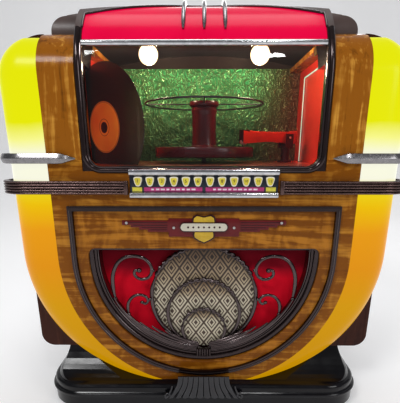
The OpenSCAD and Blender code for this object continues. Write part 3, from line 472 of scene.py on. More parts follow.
class Build:
    """Collects several closed shells into one mesh."""

    def __init__(self):
        self.v, self.f = [], []

    def add(self, verts, faces):
        base = len(self.v)
        self.v += [tuple(v) for v in verts]
        self.f += [[base + i for i in f] for f in faces]
        return self

    def rings(self, rings, closed=False):
        """Skins equal rings of points; the ends are capped unless the rings close on themselves."""
        n, m = len(rings[0]), len(rings)
        faces = []
        for i in range(m if closed else m - 1):
            a0, b0 = i * n, ((i + 1) % m) * n
            faces += [[a0 + j, a0 + (j + 1) % n, b0 + (j + 1) % n, b0 + j] for j in range(n)]
        if not closed:
            faces += [list(range(n))[::-1], [(m - 1) * n + j for j in range(n)]]
        return self.add([p for r in rings for p in r], faces)

    def lathe(self, profile, centre, axis="z", sides=64):
        """Turns a profile of (radius, height) round the z or y axis."""
        x, y, z = centre
        n = len(profile)
        verts, faces = [], []
        for i in range(sides):
            ca, sa = cos(TAU * i / sides), sin(TAU * i / sides)
            for r, h in profile:
                along = (r * sa, h) if axis == "z" else (h, r * sa)
                verts.append((x + r * ca, y + along[0], z + along[1]))
            a0, b0 = i * n, ((i + 1) % sides) * n
            faces += [[a0 + j, a0 + j + 1, b0 + j + 1, b0 + j] for j in range(n - 1)]
        return self.add(verts, faces)

    def sheet(self, nu, nv, at, back):
        """A front of nu by nv cells with its corners at(i, j), closed by a flat back at one depth."""
        row = nu + 1
        verts = [at(i, j) for j in range(nv + 1) for i in range(row)]
        faces = [[p, p + 1, p + row + 1, p + row] for j in range(nv) for p in range(j * row, j * row + nu)]
        rim = (list(range(row)) + [j * row + nu for j in range(1, nv + 1)]
               + [nv * row + i for i in range(nu - 1, -1, -1)] + [j * row for j in range(nv - 1, 0, -1)])
        base, n = len(verts), len(rim)
        verts += [(verts[i][0], back, verts[i][2]) for i in rim]
        faces += [[rim[k], rim[(k + 1) % n], base + (k + 1) % n, base + k] for k in range(n)]
        return self.add(verts, faces + [[base + k for k in range(n)]])

    def plate(self, outline, y0, y1, edge=0.0):
        """A flat outline of (x, z) between two depths, with its front edge (y0) eased by edge mm."""
        n = len(outline)

        def ring(y, inset):
            out = []
            for i, (x, z) in enumerate(outline):
                (px, pz), (qx, qz) = outline[i - 1], outline[(i + 1) % n]
                d1 = Vector((x - px, z - pz)).normalized()
                d2 = Vector((qx - x, qz - z)).normalized()
                t = d1 + d2
                t = t.normalized() if t.length > 1e-6 else d1
                nrm = Vector((t.y, -t.x))
                k = inset / max(0.5, abs(nrm.dot(Vector((d1.y, -d1.x)))))
                out.append((x - nrm.x * k * turn, y, z - nrm.y * k * turn))
            return out

        area = sum(outline[i - 1][0] * outline[i][1] - outline[i][0] * outline[i - 1][1] for i in range(n))
        turn = 1 if area > 0 else -1
        steps = [(y0, 0.0), (y1, 0.0)]
        if edge:
            steps = [(y0, edge), (y0 + edge * 0.3, edge * 0.3), (y0 + edge, 0.0), (y1, 0.0)]
        return self.rings([ring(y, inset) for y, inset in steps])


def tube_rings(path, radius, sides=12, up=(0, 1, 0), squash=1.0, lobes=None, closed=False):
    """Rings round a path. radius is a number or a function of 0..1; lobes(u) turns an oval section."""
    up = Vector(up)
    pts = [Vector(p) for p in path]
    n = len(pts)
    rings = []
    for i, p in enumerate(pts):
        a = pts[(i - 1) % n] if closed else pts[max(i - 1, 0)]
        b = pts[(i + 1) % n] if closed else pts[min(i + 1, n - 1)]
        t = (b - a).normalized()
        side = t.cross(up).normalized()
        upn = side.cross(t).normalized()
        u = i / (n if closed else n - 1)
        r = radius(u) if callable(radius) else radius
        spin = lobes(u) if lobes else None
        ring = []
        for k in range(sides):
            ang = TAU * k / sides
            ca, sa = cos(ang), sin(ang)
            if spin is None:
                ring.append(p + side * (r * ca) + upn * (r * sa * squash))
            else:
                e = r * (0.80 + 0.28 * cos(2 * (ang - spin)))
                ring.append(p + side * (e * ca) + upn * (e * sa))
        rings.append(ring)
    return rings


def angles(start, end, n):
    """n + 1 even angles in radians, from start to end in degrees."""
    return [radians(start + (end - start) * k / n) for k in range(n + 1)]


def rect(x0, z0, x1, z1):
    return [(x0, z0), (x1, z0), (x1, z1), (x0, z1)]


def smooth_path(points, n):
    """Catmull-Rom through the points, n steps between each pair."""
    p = [Vector(q) for q in points]
    p = [p[0] * 2 - p[1]] + p + [p[-1] * 2 - p[-2]]
    out = []
    for i in range(1, len(p) - 2):
        for k in range(n):
            t = k / n
            a, b, c, d = p[i - 1], p[i], p[i + 1], p[i + 2]
            out.append(0.5 * ((2 * b) + (c - a) * t + (2 * a - 5 * b + 4 * c - d) * t * t
                              + (3 * b - a - 3 * c + d) * t ** 3))
    out.append(p[-2])
    return out


def both(name, make, mat, **kw):
    """Calls make(build, sign) for both sides into one piece."""
    b = Build()
    for s in (-1, 1):
        make(b, s)
    piece(name, b, mat, **kw)


def dress(node, mat):
    """Gives a CAD node its material."""
    slots = nodes[node].data.materials
    for i in range(len(slots)):
        slots[i] = mat
    if not slots:
        slots.append(mat)


# ---------------------------------------------------------------- CAD nodes that stay

for mat, names in {
    "rubber": "feet idler_wheel", "lacquer": "base_plinth", "front": "front_panel", "cheek": "cheeks",
    "mahogany": "cabinet_floor baffle_board left_side right_side", "back": "rear_frame rear_door",
    "panel": "grille_panel", "dark_metal": "opening_trim window_trim d_moulding", "glass": "window_glass",
    "grille_red": "grille_backing", "liner": "interior_liner", "black_paint": "speaker",
    "grey": "amplifier motor", "steel": "coin_mechanism fasteners", "maroon": "tonearm_post tonearm_yoke",
    "hood_brown": "lid_frame", "crimson": "lid_plastic",
}.items():
    for node in names.split():
        dress(node, M[mat])

# ---------------------------------------------------------------- lit columns

COLUMN_X, COLUMN_Y = FRONT_R + 0.4, BAFFLE - 0.4   # inner front edge of the lit plastics


def column_section(w, d=COLUMN_D, n=14):
    """Outline of a lit plastic, w by d with a round outer corner, as (across, out)."""
    r = min(w, d)
    t = min(COLUMN_T, 0.4 * r)
    turn = [(sin(pi / 2 * k / n), cos(pi / 2 * k / n)) for k in range(n + 1)]
    outer = [(0.0, -d)] + [(w - r + r * s, -d * c) for s, c in turn]
    inner = [(0.0, -d + t)] + [(w - r + (r - t) * s, -(d - t) * c) for s, c in turn]
    return [(COLUMN_X + a, COLUMN_Y + b) for a, b in outer + inner[::-1]]


def upper_column(sign):
    """Straight up to the shoulder, then over it, getting narrower and thinner."""
    rows = [(COLUMN_W, COLUMN_D, z) for z in (377, 400, 430, 460, 490, 515, 527)]
    for e in [2 + 60 * k / 28 for k in range(29)]:
        c = cos(radians(e))
        rows.append((COLUMN_W * c * (1 - 0.1 * (e / 90) ** 3), min(COLUMN_D, 60 * c - 18.5),
                     SHOULDER_Z + (SIDE_W - FRONT_R) * sin(radians(e))))
    return [[(sign * x, y, z) for x, y in column_section(w, d)] for w, d, z in rows]


def lower_column(sign):
    """Straight down, then round the lower arc with a taper."""
    rings = [[(sign * x, y, z) for x, y in column_section(COLUMN_W)] for z in (376, 350, 320, 290, 274)]
    for g in [0.5 + 73.5 * k / 48 for k in range(49)]:
        c, s = cos(radians(g)), sin(radians(g))
        w = COLUMN_W * (1 - (g / 82) ** 1.6)
        rings.append([(sign * x * c, y, ARC_Z - x * s) for x, y in column_section(w)])
    return rings


for side, sign in SIDES:
    piece(side + "_lit_upper", Build().rings(upper_column(sign)), "column_top", slot="plastic_yellow",
          stands_for=(side + "_plastic_upper",))
    piece(side + "_lit_lower", Build().rings(lower_column(sign)), "column_low", slot="plastic_orange",
          stands_for=(side + "_plastic_lower",))

# ---------------------------------------------------------------- wrap-round trim

WRAP_R, WRAP_T = 44.0, 7     # corner radius and thickness of the strips that wrap round the front
SPEAR_Z = 422.0


def wrap_path(x0, out, tail, n=20):
    """Plan of a strip's centre line with its outward normals: along the front, round the corner, back."""
    front = FACE - 2 - WRAP_T
    cx, cy = out - WRAP_R, front + WRAP_R
    pts = [((x0 + (cx - x0) * k / 12, front), (0, -1)) for k in range(12)]
    for k in range(n + 1):
        s, c = sin(pi / 2 * k / n), cos(pi / 2 * k / n)
        pts.append(((cx + WRAP_R * s, cy - WRAP_R * c), (s, -c)))
    return pts + [((out, cy + tail * k / 6), (1, 0)) for k in range(1, 7)]


def wrap(sign, path, section):
    """Sweeps section(u) -> [(outward, z)] along a plan path."""
    return [[(sign * (x + nx * o), y + ny * o, z) for o, z in section(i / (len(path) - 1))]
            for i, ((x, y), (nx, ny)) in enumerate(path)]


def ribs(z0, z1, count=5):
    """Section of the bronze band: round ribs with grooves between them."""
    pts = [(-WRAP_T, z0 + 0.4), (-3.2, z0 + 0.4)]
    for i in range(count):
        c = z0 + 2.0 + 4.0 * i
        for k in range(7):
            a = pi * (k / 6 - 0.5)
            pts.append((-2.2 + 2.2 * cos(a), c + 1.7 * sin(a)))
        if i < count - 1:
            pts.append((-3.6, c + 2.0))
    return pts + [(-3.2, z1 - 0.4), (-WRAP_T, z1 - 0.4)]


def ridge(u, size):
    """Section of the spear: it grows from its point to full width and has a scalloped end."""
    s = min(1.0, u * size / 3.2)
    h, d = 0.4 + 6.9 * s, 0.6 + 6.4 * s
    scallop = 0.5 + 0.5 * cos(u * 62) if u > 0.62 else 0.0
    tip = d - 1.2 * scallop
    half = [(0.2, h), (d * 0.45, h), (d * 0.62, h * 0.93), (tip, h * 0.16)]
    return ([(o - WRAP_T, SPEAR_Z - z) for o, z in half] + [(tip + 0.3 - WRAP_T, SPEAR_Z)]
            + [(o - WRAP_T, SPEAR_Z + z) for o, z in half[::-1]])


for side, sign in SIDES:
    z0, z1 = 370.5, 390.5
    b = Build().rings(wrap(sign, wrap_path(115, 311, 70), lambda u: ribs(z0, z1)))
    # end cap by the selector
    b.plate(rect(sign * 112.5, z0, sign * 118, z1), FACE - 9.4, FACE - 0.3, 0.8)
    piece(side + "_ribbed_band", b, "bronze", slot="bronze_band", stands_for=(side + "_band",), smooth=50)

    path = wrap_path(187, 310, 24, 24)
    b = Build().rings(wrap(sign, path, lambda u: ridge(u, len(path))))
    b.lathe([(0.0, -6.2), (3.2, -5.2), (5.4, -2.8), (6.2, 0), (5.4, 2.8), (3.2, 5.2), (0.0, 6.2)],
            (sign * 304.0, FACE - 9 + WRAP_R + 24 + 1, SPEAR_Z), "z", 32)
    piece(side + "_spear_bar", b, "spear", slot="chrome", stands_for=(side + "_spear",), smooth=25)

# ---------------------------------------------------------------- bright lines


def d_tubes(name, rows):
    """Bright tubes round D outlines: radius, straight top, depth and thickness of each."""
    b = Build()
    for r, top, y, thick in rows:
        loop = [(-r, top)] + [(r * cos(a), ARC_Z + r * sin(a)) for a in angles(-180, 0, 72)] + [(r, top)]
        loop += [(-r + 2 * r * k / 24, top) for k in range(23, 0, -1)]
        b.rings(tube_rings([(x, y, z) for x, z in loop], thick, 10, closed=True), closed=True)
    piece(name, b, "scroll", slot="dark_moulding")


d_tubes("moulding_bright_line", [(203.4, 349.6, FACE - 5.4, 0.8)])
d_tubes("opening_bright_lines", [(176.2, OPEN_TOP - 3, FACE + 6.4, 1.3),
                                 (169.0, OPEN_TOP - 3, FACE + 11, 1.2)])


def hood_y(z, inset=0.0):
    """Depth of the hood's face at a height."""
    if z <= ROLL_Z:
        return FACE + inset
    return ROLL_Y - sqrt(max(0.0, (ROLL_R - inset) ** 2 - (z - ROLL_Z) ** 2))


def window_loop(w, low, high, corner):
    """From the upper left, down, round the rounded lower corners and up the right side."""
    pts = [(-w, high + (low + corner - high) * k / 24) for k in range(24)]
    pts += [(-w + corner + corner * cos(a), low + corner + corner * sin(a)) for a in angles(180, 270, 12)]
    pts += [(-w + corner + 2 * (w - corner) * k / 20, low) for k in range(1, 20)]
    pts += [(w - corner + corner * cos(a), low + corner + corner * sin(a)) for a in angles(270, 360, 12)]
    return pts + [(w, low + corner + (high - low - corner) * k / 24) for k in range(1, 25)]


def window_strip(pts, section):
    """Sweeps section [(inward, outward)] round the window, following the hood's curve."""
    rings = []
    for i, (x, z) in enumerate(pts):
        (ax, az), (bx, bz) = pts[max(i - 1, 0)], pts[min(i + 1, len(pts) - 1)]
        t = Vector((bx - ax, bz - az)).normalized()
        nrm = Vector((0, -1, 0))
        if z > ROLL_Z:
            nrm = (Vector((0, hood_y(z), z)) - Vector((0, ROLL_Y, ROLL_Z))).normalized()
        rings.append([Vector((x - t.y * a, hood_y(z + t.x * a), z + t.x * a)) + nrm * o for a, o in section])
    return rings


for name, mat, loop, section in (
        ("window_dark_frame", "dark_metal", (174.5, 404.5, SPLIT_Z - 1, 24.0),
         [(-3.2, -3), (-3.4, 0.6), (-2.4, 2.0), (0.4, 3.0), (2.6, 2.4), (4.0, 1.0), (4.2, -3)]),
        ("window_bright_edge", "scroll", (168.6, 409.6, 572.0, 19.0),
         [(-1.6, -4), (-1.6, 0.9), (-0.8, 1.9), (0.4, 2.0), (1.4, 1.2), (1.8, -0.4), (1.8, -4)])):
    piece(name, Build().rings(window_strip(window_loop(*loop), section)), mat, slot="window_trim")

# ---------------------------------------------------------------- selector and keys

SELECTOR_W = 110
b = Build()
for lo, hi in ((398.0, 408.0), (365.0, 374.0)):
    c, h = (lo + hi) / 2, (hi - lo) / 2
    bulge = [(-1 - 6.6 * max(0.0, sin(pi * k / 12)) ** 0.45, c - h * cos(pi * k / 12)) for k in range(13)]
    b.rings([[(x, FACE + y, z) for y, z in bulge + [(8, hi), (8, lo)]]
             for x in (-SELECTOR_W, -109.2, -60, 0, 60, 109.2, SELECTOR_W)])
piece("selector_bright_strips", b, "chrome", slot="selector_steel", stands_for=("selector_housing",),
      smooth=50)
b = Build().plate(rect(-SELECTOR_W, 373.5, SELECTOR_W, 398.3), FACE - 2, FACE + 2, 0.3)
piece("selector_black_panel", b, "selector_black", slot="selector_steel", stands_for=("selector_housing",))
for colour, x0, x1 in (("yellow", 106.5, 92), ("pink", 89, 2.5)):
    both("selector_%s_labels" % colour,
         lambda b, s: b.plate(rect(s * x0, 375, s * x1, 381), FACE - 2.7, FACE - 1.9, 0.2),
         "label_" + colour, slot="selector_steel")
b = Build()
for s in (-1, 1):
    for k in range(9):                        # rows of plain marks, no lettering
        x = s * 46 + (k - 4) * 7.6
        w = 2.1 + 0.9 * ((k * 7) % 3) / 2
        b.plate(rect(x - w, 376.8, x + w, 379.2), FACE - 2.95, FACE - 2.5, 0.1)
piece("selector_label_marks", b, "label_white", slot="selector_steel")


def shield(cx, cz, k=1.0):
    """Outline of a key, k times its size, from its upper left corner."""
    right = [(0, 7.0), (3.0, 6.9), (5.3, 6.3), (6.1, 5.0), (6.0, 2.5), (5.3, -0.5), (4.3, -3.6), (3.2, -5.8),
             (1.8, -6.8), (0, -7.0)]
    left = [(-x, z) for x, z in right[-2:0:-1]]
    return [(cx + x * k, cz + z * k) for x, z in left[-3:] + right + left[:-3]]


def number(text, x, y, z, size, key):
    """The key's number in raised ink, turned to the front."""
    name = key + "_number"
    cu = bpy.data.curves.new(name, "FONT")
    cu.body = text
    cu.size = size * MM
    cu.extrude = 0.15 * MM
    cu.align_x = cu.align_y = "CENTER"
    cu.resolution_u = 4
    tmp = add_object(name + "_t", cu)
    tmp.rotation_euler = (pi / 2, 0, 0)
    tmp.location = Vector((x, y, z)) * MM
    bpy.context.view_layer.update()
    mesh = bpy.data.meshes.new_from_object(tmp.evaluated_get(bpy.context.evaluated_depsgraph_get()))
    mesh.transform(tmp.matrix_world)
    bpy.data.objects.remove(tmp)
    mesh.materials.clear()
    mesh.materials.append(M["ink"])
    finish_piece(add_object(name, mesh), key, ())


for i in range(1, 13):
    key = "key_%02d" % i
    lo, hi = mm_box(key)
    cx, y, cz = (lo[0] + hi[0]) / 2, lo[1], (lo[2] + hi[2]) / 2
    b = Build().plate(shield(cx, cz), y, y + 12.5, 0.8)
    b.lathe([(0, 0), (2.5, 0), (2.5, 22), (0, 22)], (cx, y + 12, cz), "y", 20)
    piece(key + "_ivory", b, "key_rim", body=key, slot="key_yellow", stands_for=(key,))
    b = Build().plate(shield(cx, cz, 0.76), y - 0.25, y + 0.6, 0.2)
    piece(key + "_face", b, "key_face", body=key, slot="key_yellow")
    number(str(i), cx, y - 0.4, cz + 0.7, 6.4 if i < 10 else 5.0, key)

# ---------------------------------------------------------------- badge

BADGE_UP = 6.5     # the wings and the crest stand this much above their drawn heights
wing = [(54, 328), (54, 325), (125, 325), (125, 318), (112, 318), (112, 314.5), (99, 314.5), (99, 311),
        (86, 311), (86, 307.5), (54, 307.5), (54, 300)]
wing = [(x, z + BADGE_UP) for x, z in wing]
b = Build().plate(wing + [(-x, z) for x, z in wing[::-1]], FACE - 3.2, FACE - 0.02, 0.6)
piece("badge_wings", b, "badge", slot="badge_maroon", stands_for=("badge_plate",))
b = Build()
for s in (-1, 1):
    for z0, x1 in ((327.9, 122), (323.7, 108), (320.1, 95), (316.7, 82)):
        b.plate(rect(s * 56, z0, s * x1, z0 + 0.9), FACE - 3.7, FACE - 2.9, 0.1)
piece("badge_wing_lines", b, "badge_dark", slot="badge_maroon")
crest = [(-17, 331), (-12, 334.4), (-5, 333.2), (0, 331.6), (5, 333.2), (12, 334.4), (17, 331), (18, 325),
         (15.6, 318), (15, 311), (16.6, 303), (16, 298), (9, 293.6), (0, 289.4), (-9, 293.6), (-16, 298),
         (-16.6, 303), (-15, 311), (-15.6, 318), (-18, 325)]
crest = [(x, z + BADGE_UP) for x, z in crest]
b = Build().plate(crest, FACE - 5.8, FACE - 3.0, 0.6)
piece("badge_crest_rim", b, "badge_dark", slot="badge_yellow", stands_for=("badge_shield",))
b = Build().plate([(x * 0.88, 318.5 + (z - 318.5) * 0.9) for x, z in crest], FACE - 6.5, FACE - 5.4, 0.4)
for z in (335.0, 306.0):
    for x in (-7, 0, 7):
        b.plate(rect(x - 2.2, z - 1.6, x + 2.2, z + 1.6), FACE - 6.9, FACE - 6.2, 0.2)
piece("badge_crest", b, "badge_yellow", slot="badge_yellow")


def capsule(cx, cz, half, r, n=12):
    return ([(cx + half - r + r * cos(a), cz + r * sin(a)) for a in angles(-90, 90, n)]
            + [(cx - half + r + r * cos(a), cz + r * sin(a)) for a in angles(90, 270, n)])


b = Build().plate(capsule(0, 322, 37, 7.5), FACE - 7.6, FACE - 6.0, 0.5)
piece("badge_oval_rim", b, "badge_dark", slot="badge_yellow")
b = Build().plate(capsule(0, 322, 35.4, 5.9), FACE - 8.4, FACE - 7.2, 0.5)
piece("badge_oval", b, "badge_cream", slot="badge_yellow")
b = Build()
for k in range(7):                            # a plain row of studs, no name
    b.lathe([(0, -8.9), (1.3, -8.7), (1.9, -8.1), (1.9, -7.9)], (-24 + 8 * k, FACE, 322), "y", 16)
piece("badge_studs", b, "badge_dark", slot="badge_yellow")

# ---------------------------------------------------------------- grille

for i, (cz, R) in enumerate(DOMES):
    y0, n, m = FACE + 27 - 4 * i, 96, 8
    rings = []
    for k in range(m + 1):
        r = (R - 2.6) * k / m
        rings.append([(r * cos(TAU * j / n), y0 - 1.4 * (1 - (k / m) ** 2),
                       min(cz + r * sin(TAU * j / n), OPEN_TOP - 5)) for j in range(n)])
    rings.append([(x, y0 + 3.2, z) for x, y, z in rings[-1]])
    piece("cloth_disc_%d" % (i + 1), Build().rings(rings), "cloth%d" % i, slot="speaker_cloth",
          stands_for=("grille_cloth",), smooth=40)


def arc(cz, r, y, a0, a1, n):
    return [(r * cos(a), y, cz + r * sin(a)) for a in angles(a0, a1, n)]


def rope(b, cz, R, y, a0, a1, r, pitch=11.0):
    """A twisted ring, from one angle to another, with tapered ends."""
    length = abs(radians(a1 - a0)) * R
    b.rings(tube_rings(arc(cz, R, y, a0, a1, max(24, int(length / 1.6))),
                       lambda u: r * min(1.0, 0.35 + 6 * u, 0.35 + 6 * (1 - u)), 14,
                       lobes=lambda u: pi * length / pitch * u))


def smooth_ring(b, cz, R, y, a0, a1, r):
    b.rings(tube_rings(arc(cz, R, y, a0, a1, max(24, int(abs(a1 - a0) / 3))),
                       lambda u: r * min(1.0, 0.4 + 5 * u, 0.4 + 5 * (1 - u)), 12))


b = Build()
(z0, R0), (z1, R1), (z2, R2) = DOMES
y0, y1, y2 = FACE + 23, FACE + 19, FACE + 15
top0 = degrees(asin((OPEN_TOP - 6.5 - z0) / R0))
for f in (lambda a: a, lambda a: 180 - a):
    rope(b, z0, R0, y0, f(22), f(top0), 4.2)
    smooth_ring(b, z0, R0, y0, f(24), f(-84), 3.6)
    smooth_ring(b, z1, R1, y1, f(30), f(-82), 3.3)
    smooth_ring(b, z2, R2, y2, f(16), f(-80), 3.0)
rope(b, z1, R1, y1, 28, 152, 4.0)
rope(b, z2, R2, y2, 12, 168, 3.6)
piece("grille_rope_rings", b, "scroll", slot="scroll_metal", stands_for=("grille_cloth",), smooth=60)


def scrolls(b, s):
    y = FACE + 15.5
    big = [(-148, 197), (-150, 212), (-150.5, 230), (-147, 246), (-139, 260), (-126, 268.5), (-110, 270),
           (-96, 265.5), (-87, 255), (-85.5, 244), (-90, 235), (-98, 231), (-107, 232), (-113.5, 238),
           (-112.5, 245.5), (-105.5, 246)]
    small = [(-127, 169), (-128, 180), (-125.5, 191), (-118, 200), (-107, 203.5), (-97, 200), (-93.5, 192.5),
             (-98, 187.5), (-103.5, 190)]
    for pts, r0, r1, knob in ((big, 3.7, 2.2, 4.2), (small, 3.2, 1.9, 3.2)):
        path = smooth_path([(-s * x, y, z) for x, z in pts], 7)
        b.rings(tube_rings(path, lambda u: (r0 * min(1.0, 0.5 + 5 * u)) * (1 - u) + r1 * u + 0.6 * u ** 6, 12,
                           squash=0.8))
        (fx, fz), (ex, ez) = pts[0], pts[-1]
        b.lathe([(0, -knob), (knob * 0.6, -knob * 0.8), (knob * 0.95, -knob * 0.3), (knob, 0.2),
                 (knob * 0.8, knob * 0.6), (0, knob)], (-s * ex, y, ez), "y", 20)
        b.lathe([(0, -3.6), (2.4, -2.8), (3.6, -0.6), (3.4, 1.4), (1.6, 3.0), (0, 3.2)],
                (-s * fx, y - 1, fz), "y", 20)
    # studs that tie the scrolls to the big ring
    for x, z, r in ((-83.5, 246, 3.4), (-90.5, 195, 2.8)):
        b.lathe([(0, -r), (r * 0.7, -r * 0.7), (r, 0), (r * 0.7, r * 0.7), (0, r)],
                (-s * x, y + 0.5, z), "y", 18)


def fan(b, s):
    """Flat tapering strips that sweep from the feet of the scrolls down into the clasp."""
    n = 44
    for x0, zs, r_end, w in ((-148, 199, 166.2, 3.4), (-137, 180, 163.6, 3.0), (-127, 170, 161.0, 3.4),
                             (-108, 156, 158.4, 3.0), (-88, 149, 155.6, 3.2), (-66, 141, 153.0, 3.0)):
        r_start = hypot(x0, zs - ARC_Z)
        a0 = degrees(atan2(zs - ARC_Z, x0))
        a1 = -90 - degrees(atan2(9.0, r_end))
        pts = []
        for u in [k / n for k in range(n + 1)]:
            r = min(r_start + (r_end - r_start) * u ** 0.75, 166.4)
            a = radians(a0 + (a1 - a0) * u)
            pts.append((-s * r * cos(a), FACE + 10 + 1.2 * sin(3.1 * u), ARC_Z + r * sin(a)))
        b.rings(tube_rings(pts, lambda u: w * (0.35 + 0.65 * min(1, 4 * u)) * (1 - 0.35 * u), 10,
                           squash=0.75))


both("grille_scrolls", scrolls, "scroll", slot="scroll_metal", stands_for=("scroll_casting",), smooth=60)
both("grille_fan", fan, "scroll", slot="scroll_metal", stands_for=("scroll_casting",), smooth=60)
b = Build()
for x in [-10.5 + 4.2 * k for k in range(6)]:
    b.rings([[(x + 2.1 * g * cos(a), FACE + 5.6 + 2.6 * g * sin(a), z) for a in angles(0, 330, 11)]
             for z, g in ((94.6, 0.6), (95.4, 1.0), (102, 1.02), (108.2, 1.0), (109.0, 0.6))])
b.plate(rect(-12.6, 95.6, 12.6, 108), FACE + 5.6, FACE + 11)
piece("grille_clasp", b, "dark_metal", slot="scroll_metal", stands_for=("scroll_casting",))

# ---------------------------------------------------------------- fluted ornament

# the fan's depth, top and foot, and how many flutes it has
FAN_Y, FAN_TOP, FAN_FOOT, FLUTES = -218.2, 72.1, 34.1, 10


def flute_point(i, j, nu=240, nv=40):
    """A point of the fan's front: flutes that spread and stand prouder towards the foot."""
    u, v = -1 + 2 * i / nu, j / nv
    f = abs(sin(pi * (u + 1) / 2 * FLUTES)) ** 0.6
    return ((43 + 20 * v ** 2.4) * u, FAN_Y - (1.2 + 3.0 * f * (0.55 + 0.45 * v) + 1.2 * v ** 3),
            FAN_TOP + (FAN_FOOT - FAN_TOP) * v - 2.2 * v * f)


b = Build().sheet(240, 40, flute_point, FAN_Y + 0.4)
for s in (-1, 1):
    stem = [(s * x, FAN_Y - 2.4, z) for x, z in ((52.5, 55), (55, 46), (59.5, 37), (64.5, 31.5))]
    b.rings(tube_rings(smooth_path(stem, 6), lambda u: 1.4 + 1.0 * u, 10))
    spiral = []
    for k, a in enumerate(angles(-60, 360, 30)):
        curl = 3.8 * k / 30
        spiral.append((s * (60.2 + (5.2 - curl) * cos(a)), FAN_Y - 2.8, 36.0 + (5.6 - curl) * sin(a)))
    b.rings(tube_rings(spiral, lambda u: 2.1 - 0.5 * u, 10))
    b.lathe([(0, -2.9), (1.6, -2.3), (2.3, -0.9), (2.3, 2.5), (0, 2.6)],
            (s * 60.2, FAN_Y - 2.8, 36.0), "y", 20)
piece("base_fan_ornament", b, "ornament", slot="ornament_metal", stands_for=("base_ornament",), smooth=40)

# ---------------------------------------------------------------- hood details

b = Build()
low = 180 - degrees(asin((SPLIT_Z - 3 - ROLL_Z) / ROLL_R))   # where the fins start round the roll
for x in (-29, 0, 29):
    rings = []
    for u in [k / 40 for k in range(41)]:
        a = radians(low - (low - 68) * u)
        h = 2.6 + 4.6 * sin(pi * min(1, u * 1.05)) ** 0.8
        w = 3.0 * min(1.0, 0.5 + 6 * u, 0.35 + 5 * (1 - u))
        c, sn = cos(a), sin(a)
        y_s, z_s = ROLL_Y + ROLL_R * c, ROLL_Z + ROLL_R * sn
        if c > 0:                             # flat along the top behind the roll
            z_s, c, sn = ROLL_Z + ROLL_R, 0.0, 1.0
        ring = []
        for q in [pi * j / 11 for j in range(12)]:
            rise = h * sin(q) ** 0.55
            ring.append((x + w * cos(q), y_s + c * rise, z_s + sn * rise))
        rings.append(ring + [(x - w, y_s - c * 0.8, z_s - sn * 0.8), (x + w, y_s - c * 0.8, z_s - sn * 0.8)])
    b.rings(rings)
piece("hood_fins", b, "spear", body="lid", slot="chrome", stands_for=("lid_chrome",), smooth=50)
b = Build().rings(tube_rings([(-167 + 334 * k / 40, FACE + 8.5, 573) for k in range(41)], 4.0, 20))
piece("hood_bar", b, "chrome", body="lid", slot="chrome", stands_for=("lid_chrome",), smooth=50)

# rim round the crimson panel
RIM_X, CROWN_R = 168.2, 590
crown = [(x, ROLL_Z + ROLL_R - 2 - CROWN_R + sqrt(CROWN_R ** 2 - x * x))
         for x in [-RIM_X + 2 * RIM_X * k / 48 for k in range(49)]]
legs = [SPLIT_Z + 0.5, SPLIT_Z + 12]
edge = [(-RIM_X, z) for z in legs] + crown + [(RIM_X, z) for z in legs[::-1]]
b = Build().rings(tube_rings([(x, hood_y(z, 0.2) - 0.4, z) for x, z in edge], 1.7, 10, (0, -0.4, 1)))
piece("hood_panel_rim", b, "dark_metal", body="lid", slot="hood_brown", smooth=60)

# ---------------------------------------------------------------- inside the compartment

lo, hi = mm_box("foil_wall")


def foil_point(i, j, nx=150, nz=64):
    """A point of the crinkled foil; the creases fade out at its edges."""
    x, z = lo[0] + (hi[0] - lo[0]) * i / nx, lo[2] + (SPLIT_Z - 9.5 - lo[2]) * j / nz
    fade = min(1, i / 4, (nx - i) / 4, j / 4, (nz - j) / 4)
    d = noise.hetero_terrain(Vector((x * 0.055, 3.7, z * 0.055)), 0.9, 2.2, 4, 0.6) - 0.6
    return x, FOIL_Y + 0.2 + max(0.0, min(2.4, 1.1 + 1.1 * d)) * fade, z


b = Build().sheet(150, 64, foil_point, FOIL_Y + 3.0)
b.plate(rect(-178, SPLIT_Z - 9.4, 178, SPLIT_Z - 1), FOIL_Y + 0.3, FOIL_Y + 3)
piece("crinkled_foil", b, "foil", slot="foil_green", stands_for=("foil_wall",), smooth=30)

# pale glass edge that stands by the right wall
b = Build().rings(tube_rings([(198, 56, DECK_Z + z) for z in (0.5, 40, 80, 120, 158)], 1.0, 8))
b.rings(tube_rings([(198, 56 - k * 19, DECK_Z + 158) for k in range(9)], 1.3, 8, (0, 0, 1)))
piece("glass_strip", b, "mint", slot="window_glass")

# turntable: platter with a rim, column with collars, hoop on four thin arms
HOOP_R, HOOP_Z = 104, 511.5
lo, hi = mm_box("turntable")
sy = (lo[1] + hi[1]) / 2
b = Build().lathe([
    (0, 421), (86, 421), (89, 422.2), (90, 424), (90, 436.5), (88.8, 438.4), (86, 439), (84, 438.4),
    (80, 438.2), (30, 438.2), (28, 439), (25, 440.5), (23, 442), (22.4, 446), (21.8, 449), (21.5, 456),
    (21.5, 493), (22, 496), (22.8, 499), (22.8, 502), (22, 503), (22, 506), (24, 507.4), (25.6, 508.6),
    (26, 510), (26, 514), (25, 515.6), (21, 516), (0, 516)], (0, sy, 0), "z", 96)
b.lathe([(0, 386), (4, 386), (4, 421.5), (0, 421.5)], (0, sy, 0), "z", 24)
piece("turntable_column", b, "maroon", body="turntable", slot="platter_maroon", stands_for=("turntable",))
b = Build()
for ca, sa in ((1, 0), (0, 1), (-1, 0), (0, -1)):
    arm = [(r * ca, sy + r * sa, HOOP_Z) for r in (18, 40, 70, HOOP_R + 0.5)]
    b.rings(tube_rings(arm, 1.1, 8, (0, 0, 1)))
hoop = [(HOOP_R * cos(TAU * k / 96), sy + HOOP_R * sin(TAU * k / 96), HOOP_Z) for k in range(96)]
b.rings(tube_rings(hoop, 1.5, 8, (0, 0, 1), closed=True), closed=True)
piece("turntable_hoop", b, "black_paint", body="turntable", slot="platter_maroon", stands_for=("turntable",))

